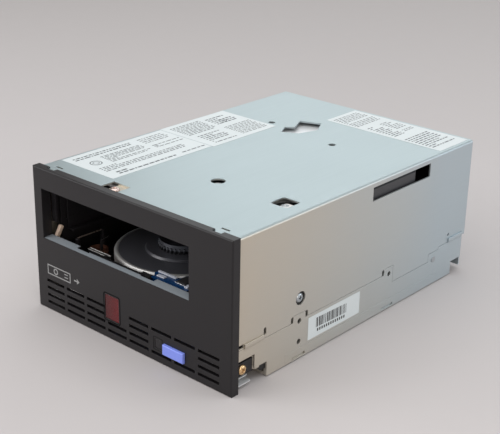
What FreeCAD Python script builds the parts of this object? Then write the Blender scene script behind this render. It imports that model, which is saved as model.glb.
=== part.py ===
import FreeCAD, Part

import os
import re

import Sketcher

# A full-height 5.25 inch data tape drive.  Millimetres.  Inside the drive every piece is drawn
# from the chassis datum: X across from the middle plane, Y back from the front edge of the sheet
# metal, Z up from its underside.  The Placement of each sub-part then moves that datum so that
# the finished drive stands on Z = 0 with its box centred on the Z axis.

DIMENSIONS = [
    # name, value, what it is
    # --- sheet-metal case
    ("case_width", 146.0, "width of a 5.25 inch bay case"),
    ("case_height", 82.5, "full height, two bays"),
    ("case_depth", 205.5, "front edge of the cover to its rear edge"),
    ("sheet", 1.0, "thickness of cover and base"),
    ("cover_bend", 1.5, "outside bend radius of the cover"),
    ("seam_gap", 0.25, "gap between cover and base"),
    ("seam_height", 22.3, "height of the seam"),
    ("seam_tab", 3.6, "rise of the two mounting tabs over the seam"),
    ("seam_drop", 6.7, "fall of the seam behind the rear tab"),
    ("rivet_tab", 5.0, "rise of the rivet tab over the dropped seam"),
    ("drop_start", 130.2, "where the seam drops"),
    ("drop_length", 36.6, "length of the drop"),
    ("rivet_tab_width", 11.0, "width of the rivet tab"),
    ("base_rear", 203.0, "rear end of the base above the step"),
    ("base_step", 10.5, "how far the lowest part of the base stops short of that"),
    ("base_step_height", 8.0, "height of that step"),
    ("front_cut_depth", 22.3, "length of the low cut-out at the front"),
    ("front_cut_height", 8.4, "height of the low cut-out"),
    ("upper_cut_depth", 12.9, "length of the upper cut-out"),
    ("upper_cut_height", 16.3, "top of the upper cut-out"),
    ("mount_front", 47.4, "front mounting holes from the chassis front"),
    ("mount_pitch", 79.25, "standard distance from front to rear mounting holes"),
    ("mount_high", 21.84, "standard height of the upper side holes"),
    ("mount_low", 9.9, "height of the lower side holes"),
    ("mount_radius", 1.5, "M3 mounting hole"),
    ("mount_tab_half", 4.9, "half the width of a mounting tab"),
    ("bottom_mount_inset", 3.15, "bottom holes from the side of the case"),
    ("floor_open_half", 52.0, "half width of the opening in the base"),
    ("floor_open_start", 40.0, "front end of that opening"),
    ("floor_open_length", 130.0, "length of that opening"),
    ("under_sheet", 0.8, "thickness of the bottom cover"),
    ("under_start", 36.5, "front end of the bottom cover"),
    ("under_length", 140.0, "length of the bottom cover"),
    ("under_lip", 6.0, "height of its side lips"),
    ("under_slot", 11.0, "length of the slots in those lips"),
    ("under_slot_height", 1.6, "height of those slots"),
    ("access_radius", 3.6, "clearance hole under a mounting hole"),
    ("under_gap", 0.1, "clearance round the bottom cover"),
    # --- openings in the cover
    ("side_window_start", 106.5, "front end of the window in the right side"),
    ("side_window_length", 54.7, "length of that window"),
    ("side_window_drop", 11.4, "top of the case to the bottom of that window"),
    ("side_window_height", 8.0, "height of that window"),
    ("side_hole_y", 47.8, "screw access hole in the right side"),
    ("side_hole_z", 34.7, "its height"),
    ("side_hole_radius", 3.8, "its radius"),
    ("square_hole_x", 58.5, "square access hole in the top"),
    ("square_hole_y", 50.5, "its place along the cover"),
    ("square_hole_half", 5.6, "half its side"),
    ("square_hole_corner", 2.0, "its corner radius"),
    ("round_hole_x", 13.1, "round hole in the top"),
    ("round_hole_y", 49.3, "its place along the cover"),
    ("round_hole_radius", 4.0, "its radius"),
    ("gauge_hole_left_x", -33.7, "left gauge hole in the top"),
    ("gauge_hole_left_y", 146.9, "its place along the cover"),
    ("gauge_hole_right_x", 19.0, "right gauge hole in the top"),
    ("gauge_hole_right_y", 139.3, "its place along the cover"),
    ("gauge_hole_radius", 2.2, "radius of both gauge holes"),
    ("service_x", -17.5, "front corner of the service opening"),
    ("service_y", 136.9, "its place along the cover"),
    ("service_scale", 1.0, "size of that opening"),
    ("tongue_width", 5.5, "width of the two front tongues"),
    ("tongue_reach", 2.2, "how far a tongue goes into the bezel"),
    ("tongue_fit", 0.3, "gap round a tongue"),
    ("tongue_slot", 3.3, "front edge of the slot behind a tongue"),
    ("tongue_slot_length", 1.5, "length of that slot"),
    ("relief_radius", 1.0, "relief slots beside the mounting tabs"),
    ("relief_length", 2.2, "length of those slots"),
    ("relief_offset", 0.9, "middle of a slot to its tab"),
    ("tab_corner", 0.8, "corners of the front mounting tabs"),
    ("rear_tab_corner", 3.2, "corners of the rear mounting tabs"),
    ("lip_rise", 0.85, "how far the lips of the base stand out over the cover"),
    ("lip_high", 2.7, "top of a lip over the seam"),
    ("lip_slope", 2.0, "length of the slope under a lip"),
    ("front_lip", 4.8, "front end of the front lip"),
    ("front_lip_length", 14.6, "its length"),
    ("rear_lip", 187.0, "front end of the rear lip"),
    ("rear_lip_length", 15.0, "its length"),
    ("corner_notch", 4.4, "length of the notch in the cover before the front lip"),
    ("corner_notch_low", 1.0, "bottom of that notch over the seam"),
    ("corner_notch_height", 1.9, "height of that notch"),
    ("gauge_slot_z", 25.2, "small slots in the side walls, lower end"),
    ("rear_gauge_y", 187.0, "small hole in the rear of the side walls"),
    ("rear_gauge_z", 27.4, "its height"),
    ("rear_gauge_radius", 0.9, "its radius"),
    ("rivet_y", 172.0, "rivet of the rear tab"),
    ("rivet_z", 16.1, "its height"),
    ("rivet_radius", 1.9, "radius of its head"),
    ("rivet_rise", 0.4, "height of its head"),
    ("left_tongue_x", -64.7, "left side of the left tongue"),
    ("right_tongue_x", 58.0, "left side of the right tongue"),
    ("notch_left", -25.5, "left side of the front screw notch"),
    ("notch_width", 13.0, "width of that notch"),
    ("notch_length", 10.6, "length of that notch"),
    ("notch_drop", 1.5, "how far the screw tab lies below the cover"),
    ("notch_gap_left", 3.2, "gap between cover and screw tab on the left"),
    ("notch_gap_right", 1.2, "gap between them on the right"),
    ("top_screw_x", -18.0, "front screw in the top"),
    ("top_screw_y", 4.3, "its place along the cover"),
    ("side_screw_y", 4.2, "screw of a side tongue"),
    ("side_screw_z", 10.8, "its height"),
    ("side_tongue_half", 3.6, "half height of a side tongue"),
    ("ear_thick", 1.6, "thickness of the bezel's ears over the side tongues"),
    ("screw_head_radius", 2.6, "M3 pan head"),
    ("screw_head_height", 1.0, "height of that head"),
    ("screw_radius", 1.25, "M3 shank in its tapped hole"),
    ("screw_length", 5.0, "length of the shank"),
    # --- bezel
    ("bezel_side", 1.0, "how far the bezel stands out past each side"),
    ("bezel_over", 0.75, "how far it stands out past the top and the bottom"),
    ("bezel_depth", 5.2, "front face to the chassis"),
    ("bezel_face", 2.2, "thickness of the front wall"),
    ("bezel_wall", 2.0, "thickness of the rim"),
    ("bezel_round", 0.8, "rounding of the outer edges"),
    ("slot_left", -67.2, "left side of the cartridge opening"),
    ("slot_width", 112.2, "width of the cartridge opening"),
    ("slot_sill", 42.4, "height of its sill"),
    ("slot_height", 29.2, "height of the cartridge opening"),
    ("collar_wall", 1.6, "wall of the collar behind the opening"),
    ("collar_reach", 1.0, "how far the collar goes into the chassis"),
    ("sill_notch_left", -43.0, "left notch in the sill"),
    ("sill_notch_right", 6.9, "right notch in the sill"),
    ("sill_notch_width", 9.5, "width of both notches"),
    ("sill_notch_depth", 3.0, "length of both notches"),
    ("vent_first", -65.9, "left end of the first row of vents"),
    ("vent_pitch", 16.75, "distance between the columns of vents"),
    ("vent_length", 14.6, "length of a vent"),
    ("vent_height", 1.8, "height of a vent"),
    ("vent_low", 4.2, "middle height of the lowest vent"),
    ("vent_rise", 4.4, "distance between the rows of vents"),
    ("display_left", -17.5, "left side of the display window"),
    ("display_width", 10.7, "width of the display window"),
    ("display_low", 11.0, "bottom of the display window"),
    ("display_height", 14.3, "height of the display window"),
    ("lens_left", 20.4, "left side of the status lens"),
    ("lens_width", 4.6, "width of the status lens"),
    ("lens_low", 7.4, "bottom of the status lens"),
    ("lens_height", 5.3, "height of the status lens"),
    ("lens_thick", 1.6, "thickness of both lenses"),
    ("lens_lip", 1.0, "lip behind the edge of both lenses"),
    ("lens_fit", 0.15, "gap round both lenses"),
    ("button_left", 27.2, "left side of the unload button"),
    ("button_width", 14.8, "width of the unload button"),
    ("button_low", 6.2, "bottom of the unload button"),
    ("button_height", 5.8, "height of the unload button"),
    ("button_proud", 1.6, "how far the button stands out"),
    ("button_fit", 0.25, "gap round the button"),
    ("button_skirt", 0.9, "skirt that keeps the button in"),
    ("button_travel", 1.2, "how far the button goes in"),
    ("button_round", 0.6, "rounding of its front edges"),
    ("stem_radius", 1.6, "button stem"),
    ("stem_fit", 0.08, "gap round the stem in its switch"),
    ("front_board_y", 5.2, "front face of the front board"),
    ("front_board_low", 3.4, "bottom of the front board"),
    ("front_board_height", 24.0, "height of the front board"),
    ("front_board_left", -26.0, "left end of the front board"),
    ("front_board_width", 68.0, "width of the front board"),
    ("board_thick", 1.6, "thickness of the circuit boards"),
    # --- inner frame
    ("deck_low", 21.0, "underside of the cast deck"),
    ("deck_thick", 3.0, "thickness of the cast deck"),
    ("deck_side_gap", 6.0, "deck and upper frame to the side walls"),
    ("deck_front", 9.0, "front end of the cast deck"),
    ("deck_rear_gap", 13.5, "deck to the rear panel"),
    ("deck_rim", 3.0, "height of the rim round the deck"),
    ("deck_rim_wall", 2.0, "wall of that rim"),
    ("deck_post_radius", 3.5, "posts between floor and deck"),
    ("board_post_radius", 2.0, "posts under the main board"),
    ("deck_post_inset", 14.0, "front posts from the front end of the deck"),
    ("deck_post_x", 60.0, "those posts from the middle plane"),
    ("main_board_low", 9.0, "underside of the main board"),
    ("board_side_gap", 18.0, "main board to the side walls"),
    ("main_board_front", 14.0, "front end of the main board"),
    ("board_rear_gap", 9.5, "main board to the rear panel"),
    ("upper_drop", 4.5, "top of the case to the underside of the upper frame"),
    ("upper_thick", 1.5, "thickness of the upper frame"),
    ("upper_front", 12.0, "front end of the upper frame"),
    ("upper_rear_gap", 5.5, "upper frame to the rear panel"),
    ("upper_slot_x", 46.0, "lightening slots in the upper frame"),
    ("upper_slot_y", 105.0, "their front ends"),
    ("upper_slot_length", 20.0, "their length"),
    ("upper_slot_radius", 5.0, "their end radius"),
    ("upper_post_inset", 4.0, "posts from the edge of the upper frame"),
    ("upper_post_y", 100.0, "front post under the upper frame"),
    ("corner_post_x", 56.0, "post beside the reel"),
    ("corner_post_y", 162.0, "post beside the reel"),
    ("upper_post_radius", 3.0, "posts under the upper frame"),
    ("bay_mid", -11.1, "middle plane of the cartridge bay"),
    ("rail_half", 55.2, "inner face of the guide rails from that plane"),
    ("rail_wall", 1.2, "thickness of the guide rails"),
    ("rail_front", 5.2, "front end of the guide rails"),
    ("rail_length", 80.5, "length of the guide rails"),
    ("rail_under", 41.0, "underside of the rails between their feet"),
    ("rail_foot", 6.0, "length of a rail foot"),
    ("rail_lip", 3.5, "front lip of the left rail"),
    ("rail_lip_low", 50.5, "lower end of that lip"),
    ("rail_lip_height", 17.5, "height of that lip"),
    # --- loader
    ("cam_half", 53.4, "inner face of the cam plates from the middle of the bay"),
    ("cam_wall", 1.2, "thickness of the cam plates"),
    ("cam_front", 5.6, "front end of the cam plates"),
    ("cam_length", 70.0, "length of the cam plates"),
    ("cam_low", 37.6, "underside of the cam plates"),
    ("cam_high", 66.0, "top of the cam plates"),
    ("cam_travel", 12.0, "how far the cam plates slide"),
    ("bridge_width", 6.0, "width of the bridge between the cam plates"),
    ("bridge_low", 38.2, "underside of that bridge"),
    ("bridge_thick", 0.8, "thickness of that bridge"),
    ("pin_radius", 1.5, "pins of the cartridge tray"),
    ("pin_fit", 0.15, "gap round those pins in their slots"),
    ("pin_height", 57.0, "height of those pins"),
    ("pin_front", 22.0, "front pin"),
    ("pin_rear", 60.0, "rear pin"),
    ("tray_drop", 5.4, "how far the tray comes down"),
    ("tray_half", 51.6, "inner face of the tray from the middle of the bay"),
    ("tray_wall", 1.2, "thickness of the tray"),
    ("tray_front", 9.0, "front end of the tray"),
    ("tray_length", 76.0, "length of the tray"),
    ("tray_ledge", 4.0, "width of the ledges that carry the cartridge"),
    ("tray_seat", 45.75, "height of those ledges"),
    ("tray_ceiling", 68.25, "underside of the tray's top"),
    ("rack_line", 52.0, "pitch line of the rack"),
    ("rack_lead", 5.0, "teeth of the rack in front of the loader gear at rest"),
    ("rack_teeth", 6.0, "teeth of the rack"),
    ("gear_pitch", 3.14159, "tooth spacing of rack and loader gear"),
    ("gear_teeth", 14.0, "teeth of the loader gear"),
    ("gear_face", 2.0, "width of its teeth"),
    ("gear_y", 66.0, "place of the loader gear"),
    ("wheel_pitch", 2.51327, "tooth spacing of wheel and pinion"),
    ("wheel_teeth", 28.0, "teeth of the large wheel"),
    ("pinion_teeth", 10.0, "teeth of the motor pinion"),
    ("tooth_part", 0.40, "tooth thickness as a part of the spacing"),
    ("tooth_rise", 0.26, "tooth height over the pitch line, in spacings"),
    ("tooth_root", 0.40, "tooth depth under the pitch line, in spacings"),
    ("axle_radius", 1.5, "axle of the loader gear"),
    ("axle_fit", 0.05, "running gap on pins and axles"),
    ("loader_motor_radius", 6.0, "motor of the loader"),
    ("loader_motor_height", 8.0, "its height"),
    # --- spindle under the cartridge
    ("spindle_y", 47.15, "axis of the spindle"),
    ("rotor_radius", 38.1, "rotor of the spindle motor"),
    ("rotor_top", 37.7, "top of the rotor"),
    ("rotor_thick", 1.6, "thickness of its top"),
    ("rotor_skirt", 6.0, "height of its skirt"),
    ("rim_width", 2.2, "polished rim"),
    ("rim_rise", 0.2, "rise of that rim"),
    ("rim_slope", 0.9, "slope round its outer edge"),
    ("clutch_base", 21.1, "radius of the clutch plate"),
    ("clutch_base_rise", 1.2, "height of the clutch plate"),
    ("clutch_slope", 0.8, "slope round its edge"),
    ("clutch_radius", 13.8, "radius over the clutch teeth"),
    ("clutch_rise", 4.7, "height of the clutch teeth"),
    ("clutch_teeth", 34.0, "teeth of the clutch"),
    ("clutch_tooth_depth", 1.2, "depth of a tooth"),
    ("clutch_tooth_half", 0.65, "half the width of a tooth at its root"),
    ("clutch_tooth_rise", 3.0, "height of a tooth"),
    ("cap_radius", 7.0, "centre cap"),
    ("cap_rise", 1.5, "rise of the centre cap"),
    ("shaft_radius", 2.5, "motor shafts"),
    ("stator_gap", 0.6, "gap between stator and rotor"),
    ("stator_height", 7.0, "height of the stator"),
    # --- take-up reel
    ("reel_x", -14.0, "axis of the take-up reel"),
    ("reel_y", 150.0, "axis of the take-up reel"),
    ("reel_radius", 48.0, "flanges of the take-up reel"),
    ("reel_low", 42.5, "underside of the lower flange"),
    ("reel_flange", 1.5, "thickness of the flanges"),
    ("reel_width", 13.5, "gap between the flanges"),
    ("reel_hub", 22.0, "hub of the take-up reel"),
    ("reel_rotor_radius", 30.0, "its motor's rotor"),
    ("reel_rotor_height", 7.5, "height of that rotor"),
    # --- tape path
    ("guide_x", 18.5, "centre of the tape path and pivot of the threading arm"),
    ("guide_y", 118.0, "centre of the tape path"),
    ("guide_ring", 36.0, "radius on which the rollers stand"),
    ("inner_angle", 21.0, "inner rollers, either side of the head"),
    ("outer_angle", 42.0, "outer rollers, either side of the head"),
    ("roller_radius", 4.6, "rollers"),
    ("roller_flange", 5.2, "flanges of the rollers"),
    ("roller_low", 43.0, "underside of the rollers"),
    ("roller_height", 15.5, "height of the rollers"),
    ("roller_post", 2.0, "posts of the rollers"),
    ("head_x", 57.1, "face of the head"),
    ("head_width", 12.0, "width of the head"),
    ("head_depth", 9.0, "depth of the head"),
    ("head_low", 46.0, "underside of the head"),
    ("head_height", 11.0, "height of the head"),
    ("head_travel", 3.0, "how far the head steps up and down"),
    ("rod_radius", 1.5, "rods of the head carriage"),
    ("rod_x", 42.0, "rods of the head carriage"),
    ("rod_spread", 5.5, "rods from the middle of the head"),
    ("arm_length", 45.6, "threading arm, pivot to pin"),
    ("arm_rest", -43.0, "angle of the arm at rest"),
    ("arm_low", 62.0, "underside of the arm"),
    ("arm_thick", 2.5, "thickness of the arm"),
    ("arm_half", 4.0, "half width of the arm"),
    ("arm_pin", 3.0, "pin of the arm"),
    ("arm_pin_low", 46.5, "lower end of that pin"),
    ("pivot_radius", 2.5, "pivot of the arm"),
    ("channel_fit", 1.5, "room for the pin in the reel"),
    ("channel_turn", 12.0, "bend of one stretch of the channel"),
    ("channel_end", 5.7, "how far the channel passes the middle of the reel"),
    # --- small pieces
    ("lever_low", 40.6, "lower end of the cartridge sensor lever"),
    ("lever_high", 48.5, "its upper end"),
    ("lever_left", -65.9, "its left side"),
    ("lever_y", 2.5, "its middle"),
    ("lever_wide", 2.2, "its width"),
    ("lever_back", 1.8, "how far its tip leans back"),
    ("lever_in", 1.6, "how far its tip leans inwards"),
    ("lever_thick", 1.9, "its thickness"),
    ("lever_pin", 0.8, "radius of its pivot pin"),
    ("lever_pin_length", 1.2, "how far that pin stands out"),
    ("lever_ear", 1.2, "thickness of the ear that holds the pin"),
    ("lever_shelf", 6.0, "shelf of its bracket below the lever"),
    ("lever_bracket_width", 4.6, "width of that bracket"),
    ("card_left", 6.0, "left end of the sensor card"),
    ("card_width", 30.0, "its width"),
    ("card_front", 2.0, "its front edge"),
    ("card_depth", 10.0, "its depth"),
    ("card_low", 36.8, "its underside"),
    ("card_post_radius", 1.4, "posts under it"),
    ("duct_drop", 5.0, "top of the case to the duct behind the side window"),
    ("duct_height", 8.5, "height of that duct"),
    ("duct_gap", 1.2, "side wall to its outer face"),
    ("duct_width", 9.0, "its width"),
    ("duct_front", 100.0, "its front end"),
    ("duct_length", 52.0, "its length"),
    ("duct_round", 3.5, "rounding of its rear end"),
    ("duct_slope", 1.2, "slope along its upper edge"),
    ("label_thick", 0.12, "paper labels"),
    ("label_gap", 0.02, "glue under the labels"),
    ("front_label_x", -70.3, "left side of the front label"),
    ("front_label_y", 12.4, "its front edge"),
    ("front_label_width", 42.0, "its width"),
    ("front_label_length", 75.4, "its length"),
    ("mid_label_x", -71.3, "left side of the label behind it"),
    ("mid_label_y", 88.3, "its front edge"),
    ("mid_label_width", 44.3, "its width"),
    ("mid_label_length", 54.5, "its length"),
    ("rear_label_x", -12.5, "left side of the rear label"),
    ("rear_label_inset", 2.0, "its rear edge to the end of the cover"),
    ("rear_label_width", 83.0, "its width"),
    ("rear_label_length", 29.3, "its length"),
    ("side_label_y", 54.8, "front edge of the label on the right side"),
    ("side_label_z", 7.5, "its lower edge"),
    ("side_label_length", 44.6, "its length"),
    ("side_label_height", 13.1, "its height"),
    ("bracket_gap", 0.7, "bracket behind the side hole to the case wall"),
    ("coil_x", -42.5, "solenoid of the cartridge latch"),
    ("coil_y", 12.5, "solenoid of the cartridge latch"),
    ("coil_radius", 7.0, "radius of its coil"),
    ("coil_height", 9.0, "height of its coil"),
    ("seat_gap", 0.05, "gap between faces that are only laid together"),
    # --- rear
    ("rear_sheet", 1.0, "thickness of the rear panel"),
    ("rear_inset", 1.0, "rear panel to the end of the cover"),
    ("rear_fit", 0.1, "gap round the rear panel"),
    ("rear_foot", 14.0, "length of the foot of the rear panel"),
    ("rear_foot_half", 50.0, "half its width"),
    ("rear_vent_low", 45.0, "lowest vent of the rear panel"),
    ("power_x", 50.0, "middle of the power socket"),
    ("data_x", 5.0, "middle of the data socket"),
    ("library_x", -42.0, "middle of the library port"),
    ("power_width", 21.0, "four-pin power socket"),
    ("power_height", 8.6, "four-pin power socket"),
    ("data_width", 44.0, "data socket"),
    ("data_height", 9.0, "data socket"),
    ("library_width", 22.0, "library port"),
    ("library_height", 7.0, "library port"),
    ("socket_wall", 1.0, "walls of the sockets"),
    ("socket_depth", 12.0, "depth of the sockets"),
]

doc = FreeCAD.newDocument("TapeDrive")
sheet = doc.addObject("Spreadsheet::Sheet", "Dims")
for row, (name, number, meaning) in enumerate(DIMENSIONS, start=1):
    sheet.set(f"A{row}", name)
    sheet.set(f"B{row}", str(number))
    sheet.setAlias(f"B{row}", name)
    sheet.set(f"C{row}", meaning)
doc.recompute()
ALIASES = {name for name, number, meaning in DIMENSIONS}

# The chassis datum, seen from the middle of the drive's own box on the ground.
FRONT = "-(bezel_depth + button_proud)"
SHIFT_Y = f"-(case_depth + ({FRONT})) / 2"
SHIFT_Z = "bezel_over"


# ---------------------------------------------------------------- helpers: formulas and placing
def bound(formula):
    """Write a formula of sheet names as an expression that FreeCAD can bind."""

    def cell(match):
        word = match.group(0)
        return "Dims." + word if word in ALIASES else word

    return re.sub(r"[a-z][a-z_0-9]*", cell, str(formula))


def value(formula):
    return float(sheet.evalExpression(bound(formula)))


def place(piece, x="0", y="0", z="0"):
    piece.setExpression("Placement.Base.x", bound(x))
    piece.setExpression("Placement.Base.y", bound(y))
    piece.setExpression("Placement.Base.z", bound(z))


def place_in_row(piece, x="0", y="0", z="0"):
    place(piece, x, f"({y}) + {SHIFT_Y}", f"({z}) + {SHIFT_Z}")


NODES = []


def new_body(label, x="0", y="0", z="0"):
    body = doc.addObject("PartDesign::Body", label)
    body.Label = label
    place_in_row(body, x, y, z)
    NODES.append(body)
    return body


def node(kind, label, pieces):
    """Join primitives into one sub-part: Part::MultiFuse or Part::Compound."""
    piece = doc.addObject(kind, label)
    piece.Label = label
    if kind == "Part::Compound":
        piece.Links = pieces
    else:
        piece.Shapes = pieces
    place_in_row(piece)
    NODES.append(piece)
    return piece


# ---------------------------------------------------------------- helpers: sketches
def origin_item(body, role):
    return [item for item in body.Origin.OriginFeatures if item.Role == role][0]


def sketch_on(body, plane, level="0"):
    """A sketch on the XY, XZ or YZ plane of its body, at a level along the third axis."""
    drawing = body.newObject("Sketcher::SketchObject", body.Label + "_sketch")
    drawing.AttachmentSupport = [(origin_item(body, plane + "_Plane"), "")]
    drawing.MapMode = "FlatFace"
    sign = "-" if plane == "XZ" else ""
    drawing.setExpression("AttachmentOffset.Base.z", bound(f"{sign}({level})"))
    return drawing


def pin_point(drawing, edge, end, across, up):
    for kind, formula in (("DistanceX", across), ("DistanceY", up)):
        number = drawing.addConstraint(Sketcher.Constraint(kind, edge, end, value(formula)))
        drawing.setExpression(f"Constraints[{number}]", bound(formula))


def size_radius(drawing, edge, formula):
    number = drawing.addConstraint(Sketcher.Constraint("Radius", edge, value(formula)))
    drawing.setExpression(f"Constraints[{number}]", bound(formula))


def polygon(drawing, corners):
    first = drawing.GeometryCount
    spots = [FreeCAD.Vector(value(across), value(up), 0) for across, up in corners]
    for start, end in zip(spots, spots[1:] + spots[:1]):
        drawing.addGeometry(Part.LineSegment(start, end), False)
    count = len(corners)
    for turn, (across, up) in enumerate(corners):
        following = first + (turn + 1) % count
        drawing.addConstraint(Sketcher.Constraint("Coincident", first + turn, 2, following, 1))
        pin_point(drawing, first + turn, 1, across, up)


def rectangle(drawing, left, low, right, high):
    polygon(drawing, [(left, low), (right, low), (right, high), (left, high)])


def circle(drawing, across, up, radius):
    centre = FreeCAD.Vector(value(across), value(up), 0)
    edge = drawing.addGeometry(Part.Circle(centre, FreeCAD.Vector(0, 0, 1), value(radius)), False)
    pin_point(drawing, edge, 3, across, up)
    size_radius(drawing, edge, radius)


def slot(drawing, start, end, radius):
    """A slot with round ends about two centres."""
    one = FreeCAD.Vector(value(start[0]), value(start[1]), 0)
    two = FreeCAD.Vector(value(end[0]), value(end[1]), 0)
    along = (two - one).normalize()
    side = FreeCAD.Vector(-along.y, along.x, 0) * value(radius)
    tip = along * value(radius)
    first = drawing.GeometryCount
    drawing.addGeometry(Part.LineSegment(one - side, two - side), False)
    drawing.addGeometry(Part.Arc(two - side, two + tip, two + side), False)
    drawing.addGeometry(Part.LineSegment(two + side, one + side), False)
    drawing.addGeometry(Part.Arc(one + side, one - tip, one - side), False)
    for step in range(4):
        a, b = first + step, first + (step + 1) % 4
        # an arc drawn anticlockwise starts at its point 1 and ends at its point 2
        drawing.addConstraint(Sketcher.Constraint("Tangent", a, 2, b, 1))
    pin_point(drawing, first + 1, 3, *end)
    pin_point(drawing, first + 3, 3, *start)
    drawing.addConstraint(Sketcher.Constraint("Equal", first + 1, first + 3))
    size_radius(drawing, first + 1, radius)


# ---------------------------------------------------------------- helpers: features
def looks_back(drawing):
    return drawing.AttachmentSupport[0][0].Role == "XZ_Plane"


def pad(body, drawing, length):
    """Add material from the sketch towards the positive axis."""
    feature = body.newObject("PartDesign::Pad", body.Label + "_pad")
    feature.Profile = drawing
    feature.Reversed = looks_back(drawing)
    feature.setExpression("Length", bound(length))
    return feature


def pocket(body, drawing, length):
    """Cut from the sketch towards the positive axis."""
    feature = body.newObject("PartDesign::Pocket", body.Label + "_pocket")
    feature.Profile = drawing
    feature.Reversed = not looks_back(drawing)
    feature.setExpression("Length", bound(length))
    return feature


def mirrored(body, features, role="YZ_Plane"):
    feature = body.newObject("PartDesign::Mirrored", body.Label + "_mirror")
    feature.Originals = features
    feature.MirrorPlane = (origin_item(body, role), [""])
    body.Tip = feature
    return feature


def repeated(body, features, role, count, length):
    feature = body.newObject("PartDesign::LinearPattern", body.Label + "_row")
    feature.Originals = features
    feature.Direction = (origin_item(body, role), [""])
    feature.setExpression("Occurrences", bound(count))
    feature.setExpression("Length", bound(length))
    body.Tip = feature
    return feature


def turned_round(body, features, count):
    feature = body.newObject("PartDesign::PolarPattern", body.Label + "_ring")
    feature.Originals = features
    feature.Axis = (origin_item(body, "Z_Axis"), [""])
    feature.Angle = 360
    feature.setExpression("Occurrences", bound(count))
    body.Tip = feature
    return feature


def rounded(body, radius, wanted):
    """Fillet the edges of the finished shape that the test picks."""
    doc.recompute()
    base = body.Tip
    names = [f"Edge{k}" for k, edge in enumerate(base.Shape.Edges, start=1) if wanted(edge)]
    feature = body.newObject("PartDesign::Fillet", body.Label + "_round")
    feature.Base = (base, names)
    feature.setExpression("Radius", bound(radius))
    return feature


def turned(label, x, y, profile, z="0"):
    """A turned piece: its profile is (radius, height) points about a vertical axis."""
    body = new_body(label, x, y, z)
    drawing = sketch_on(body, "XZ")
    polygon(drawing, profile)
    feature = body.newObject("PartDesign::Revolution", label + "_turn")
    feature.Profile = drawing
    feature.ReferenceAxis = (drawing, ["V_Axis"])
    feature.Angle = 360
    return body


def slab(label, plane, level, thick, corners):
    """A flat piece cut to an outline."""
    body = new_body(label)
    drawing = sketch_on(body, plane, level)
    polygon(drawing, corners)
    pad(body, drawing, thick)
    return body


def box(left, front, low, right, rear, high):
    piece = doc.addObject("Part::Box", "block")
    piece.setExpression("Length", bound(f"({right}) - ({left})"))
    piece.setExpression("Width", bound(f"({rear}) - ({front})"))
    piece.setExpression("Height", bound(f"({high}) - ({low})"))
    place(piece, left, front, low)
    return piece


def post(x, y, low, high, radius):
    piece = doc.addObject("Part::Cylinder", "post")
    piece.setExpression("Radius", bound(radius))
    piece.setExpression("Height", bound(f"({high}) - ({low})"))
    place(piece, x, y, low)
    return piece


def hex_post(x, y, low, high, radius):
    """A hexagonal standoff; the radius is that of its corners."""
    piece = doc.addObject("Part::Prism", "hex_post")
    piece.Polygon = 6
    piece.setExpression("Circumradius", bound(radius))
    piece.setExpression("Height", bound(f"({high}) - ({low})"))
    place(piece, x, y, low)
    return piece


def cut(base, tool):
    piece = doc.addObject("Part::Cut", "cut")
    piece.Base = base
    piece.Tool = tool
    return piece


def fuse(pieces):
    piece = doc.addObject("Part::MultiFuse", "joined")
    piece.Shapes = pieces
    return piece


def screw(x, y, z, axis, turn):
    """A pan-head screw whose head is seated at a point; the shank goes the way it is turned."""
    head = post("0", "0", "-screw_head_height", "0", "screw_head_radius")
    shank = post("0", "0", "0", "screw_length", "screw_radius")
    whole = fuse([head, shank])
    whole.Placement.Rotation = FreeCAD.Rotation(FreeCAD.Vector(*axis), turn)
    place(whole, x, y, z)
    return whole


# ---------------------------------------------------------------- case
WALL = "case_width / 2"
ROOF = "case_height"
FLOOR = "under_sheet + sheet"
REAR_MOUNT = "mount_front + mount_pitch"
SEAM_LOW = "seam_height - seam_drop"
DROP_END = "drop_start + drop_length"
TAB_END = "drop_start + drop_length + rivet_tab_width"
JOGGLE = "under_lip + under_gap"
BOTTOM_HOLE = f"{WALL} - bottom_mount_inset"
DECK_HALF = f"({WALL} - sheet - deck_side_gap)"
BOARD_HALF = f"({WALL} - sheet - board_side_gap)"
REAR_FACE = "case_depth - rear_inset - rear_sheet"
DECK_REAR = f"({REAR_FACE} - deck_rear_gap)"
BOARD_REAR = f"({REAR_FACE} - board_rear_gap)"
UPPER_REAR = f"({REAR_FACE} - upper_rear_gap)"
UPPER_LOW = f"({ROOF} - upper_drop)"
WINDOW_SILL = f"{ROOF} - side_window_drop"


def tab_corners(gap, along, radius, turn):
    """The rounded corner of a mounting tab, front (turn -1) or rear (turn 1), moved out by a gap."""
    high = "seam_height + seam_tab"
    middle = f"{along} + {turn} * (mount_tab_half - {radius})"
    points = []
    for angle in (0, 30, 60, 90):
        reach = f"({radius} + {gap})"
        across = f"{middle} + {turn} * {reach} * cos({angle})"
        points.append((across, f"{high} - {radius} + {reach} * sin({angle})"))
    return points if turn == -1 else points[::-1]


def seam(gap):
    """The stepped seam of the side walls, moved up and outwards by a gap."""
    front, rear = "mount_front", REAR_MOUNT
    line = [(f"{front} - mount_tab_half - {gap}", f"seam_height + {gap}")]
    line += tab_corners(gap, front, "tab_corner", -1)
    line += tab_corners(gap, front, "tab_corner", 1)
    line.append((f"{front} + mount_tab_half + {gap}", f"seam_height + {gap}"))
    line.append((f"{rear} - mount_tab_half - {gap}", f"seam_height + {gap}"))
    line += tab_corners(gap, rear, "rear_tab_corner", -1)
    line.append((f"drop_start + {gap}", f"seam_height + seam_tab + {gap}"))
    line.append((f"drop_start + {gap}", f"{SEAM_LOW} + {gap}"))
    line.append((f"{DROP_END} - {gap}", f"{SEAM_LOW} + {gap}"))
    line.append((f"{DROP_END} - {gap}", f"{SEAM_LOW} + rivet_tab + {gap}"))
    line.append((f"{TAB_END} - {gap}", f"{SEAM_LOW} + rivet_tab + {gap}"))
    line.append((f"{TAB_END} - {gap}", f"seam_height + {gap}"))
    return line


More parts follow.
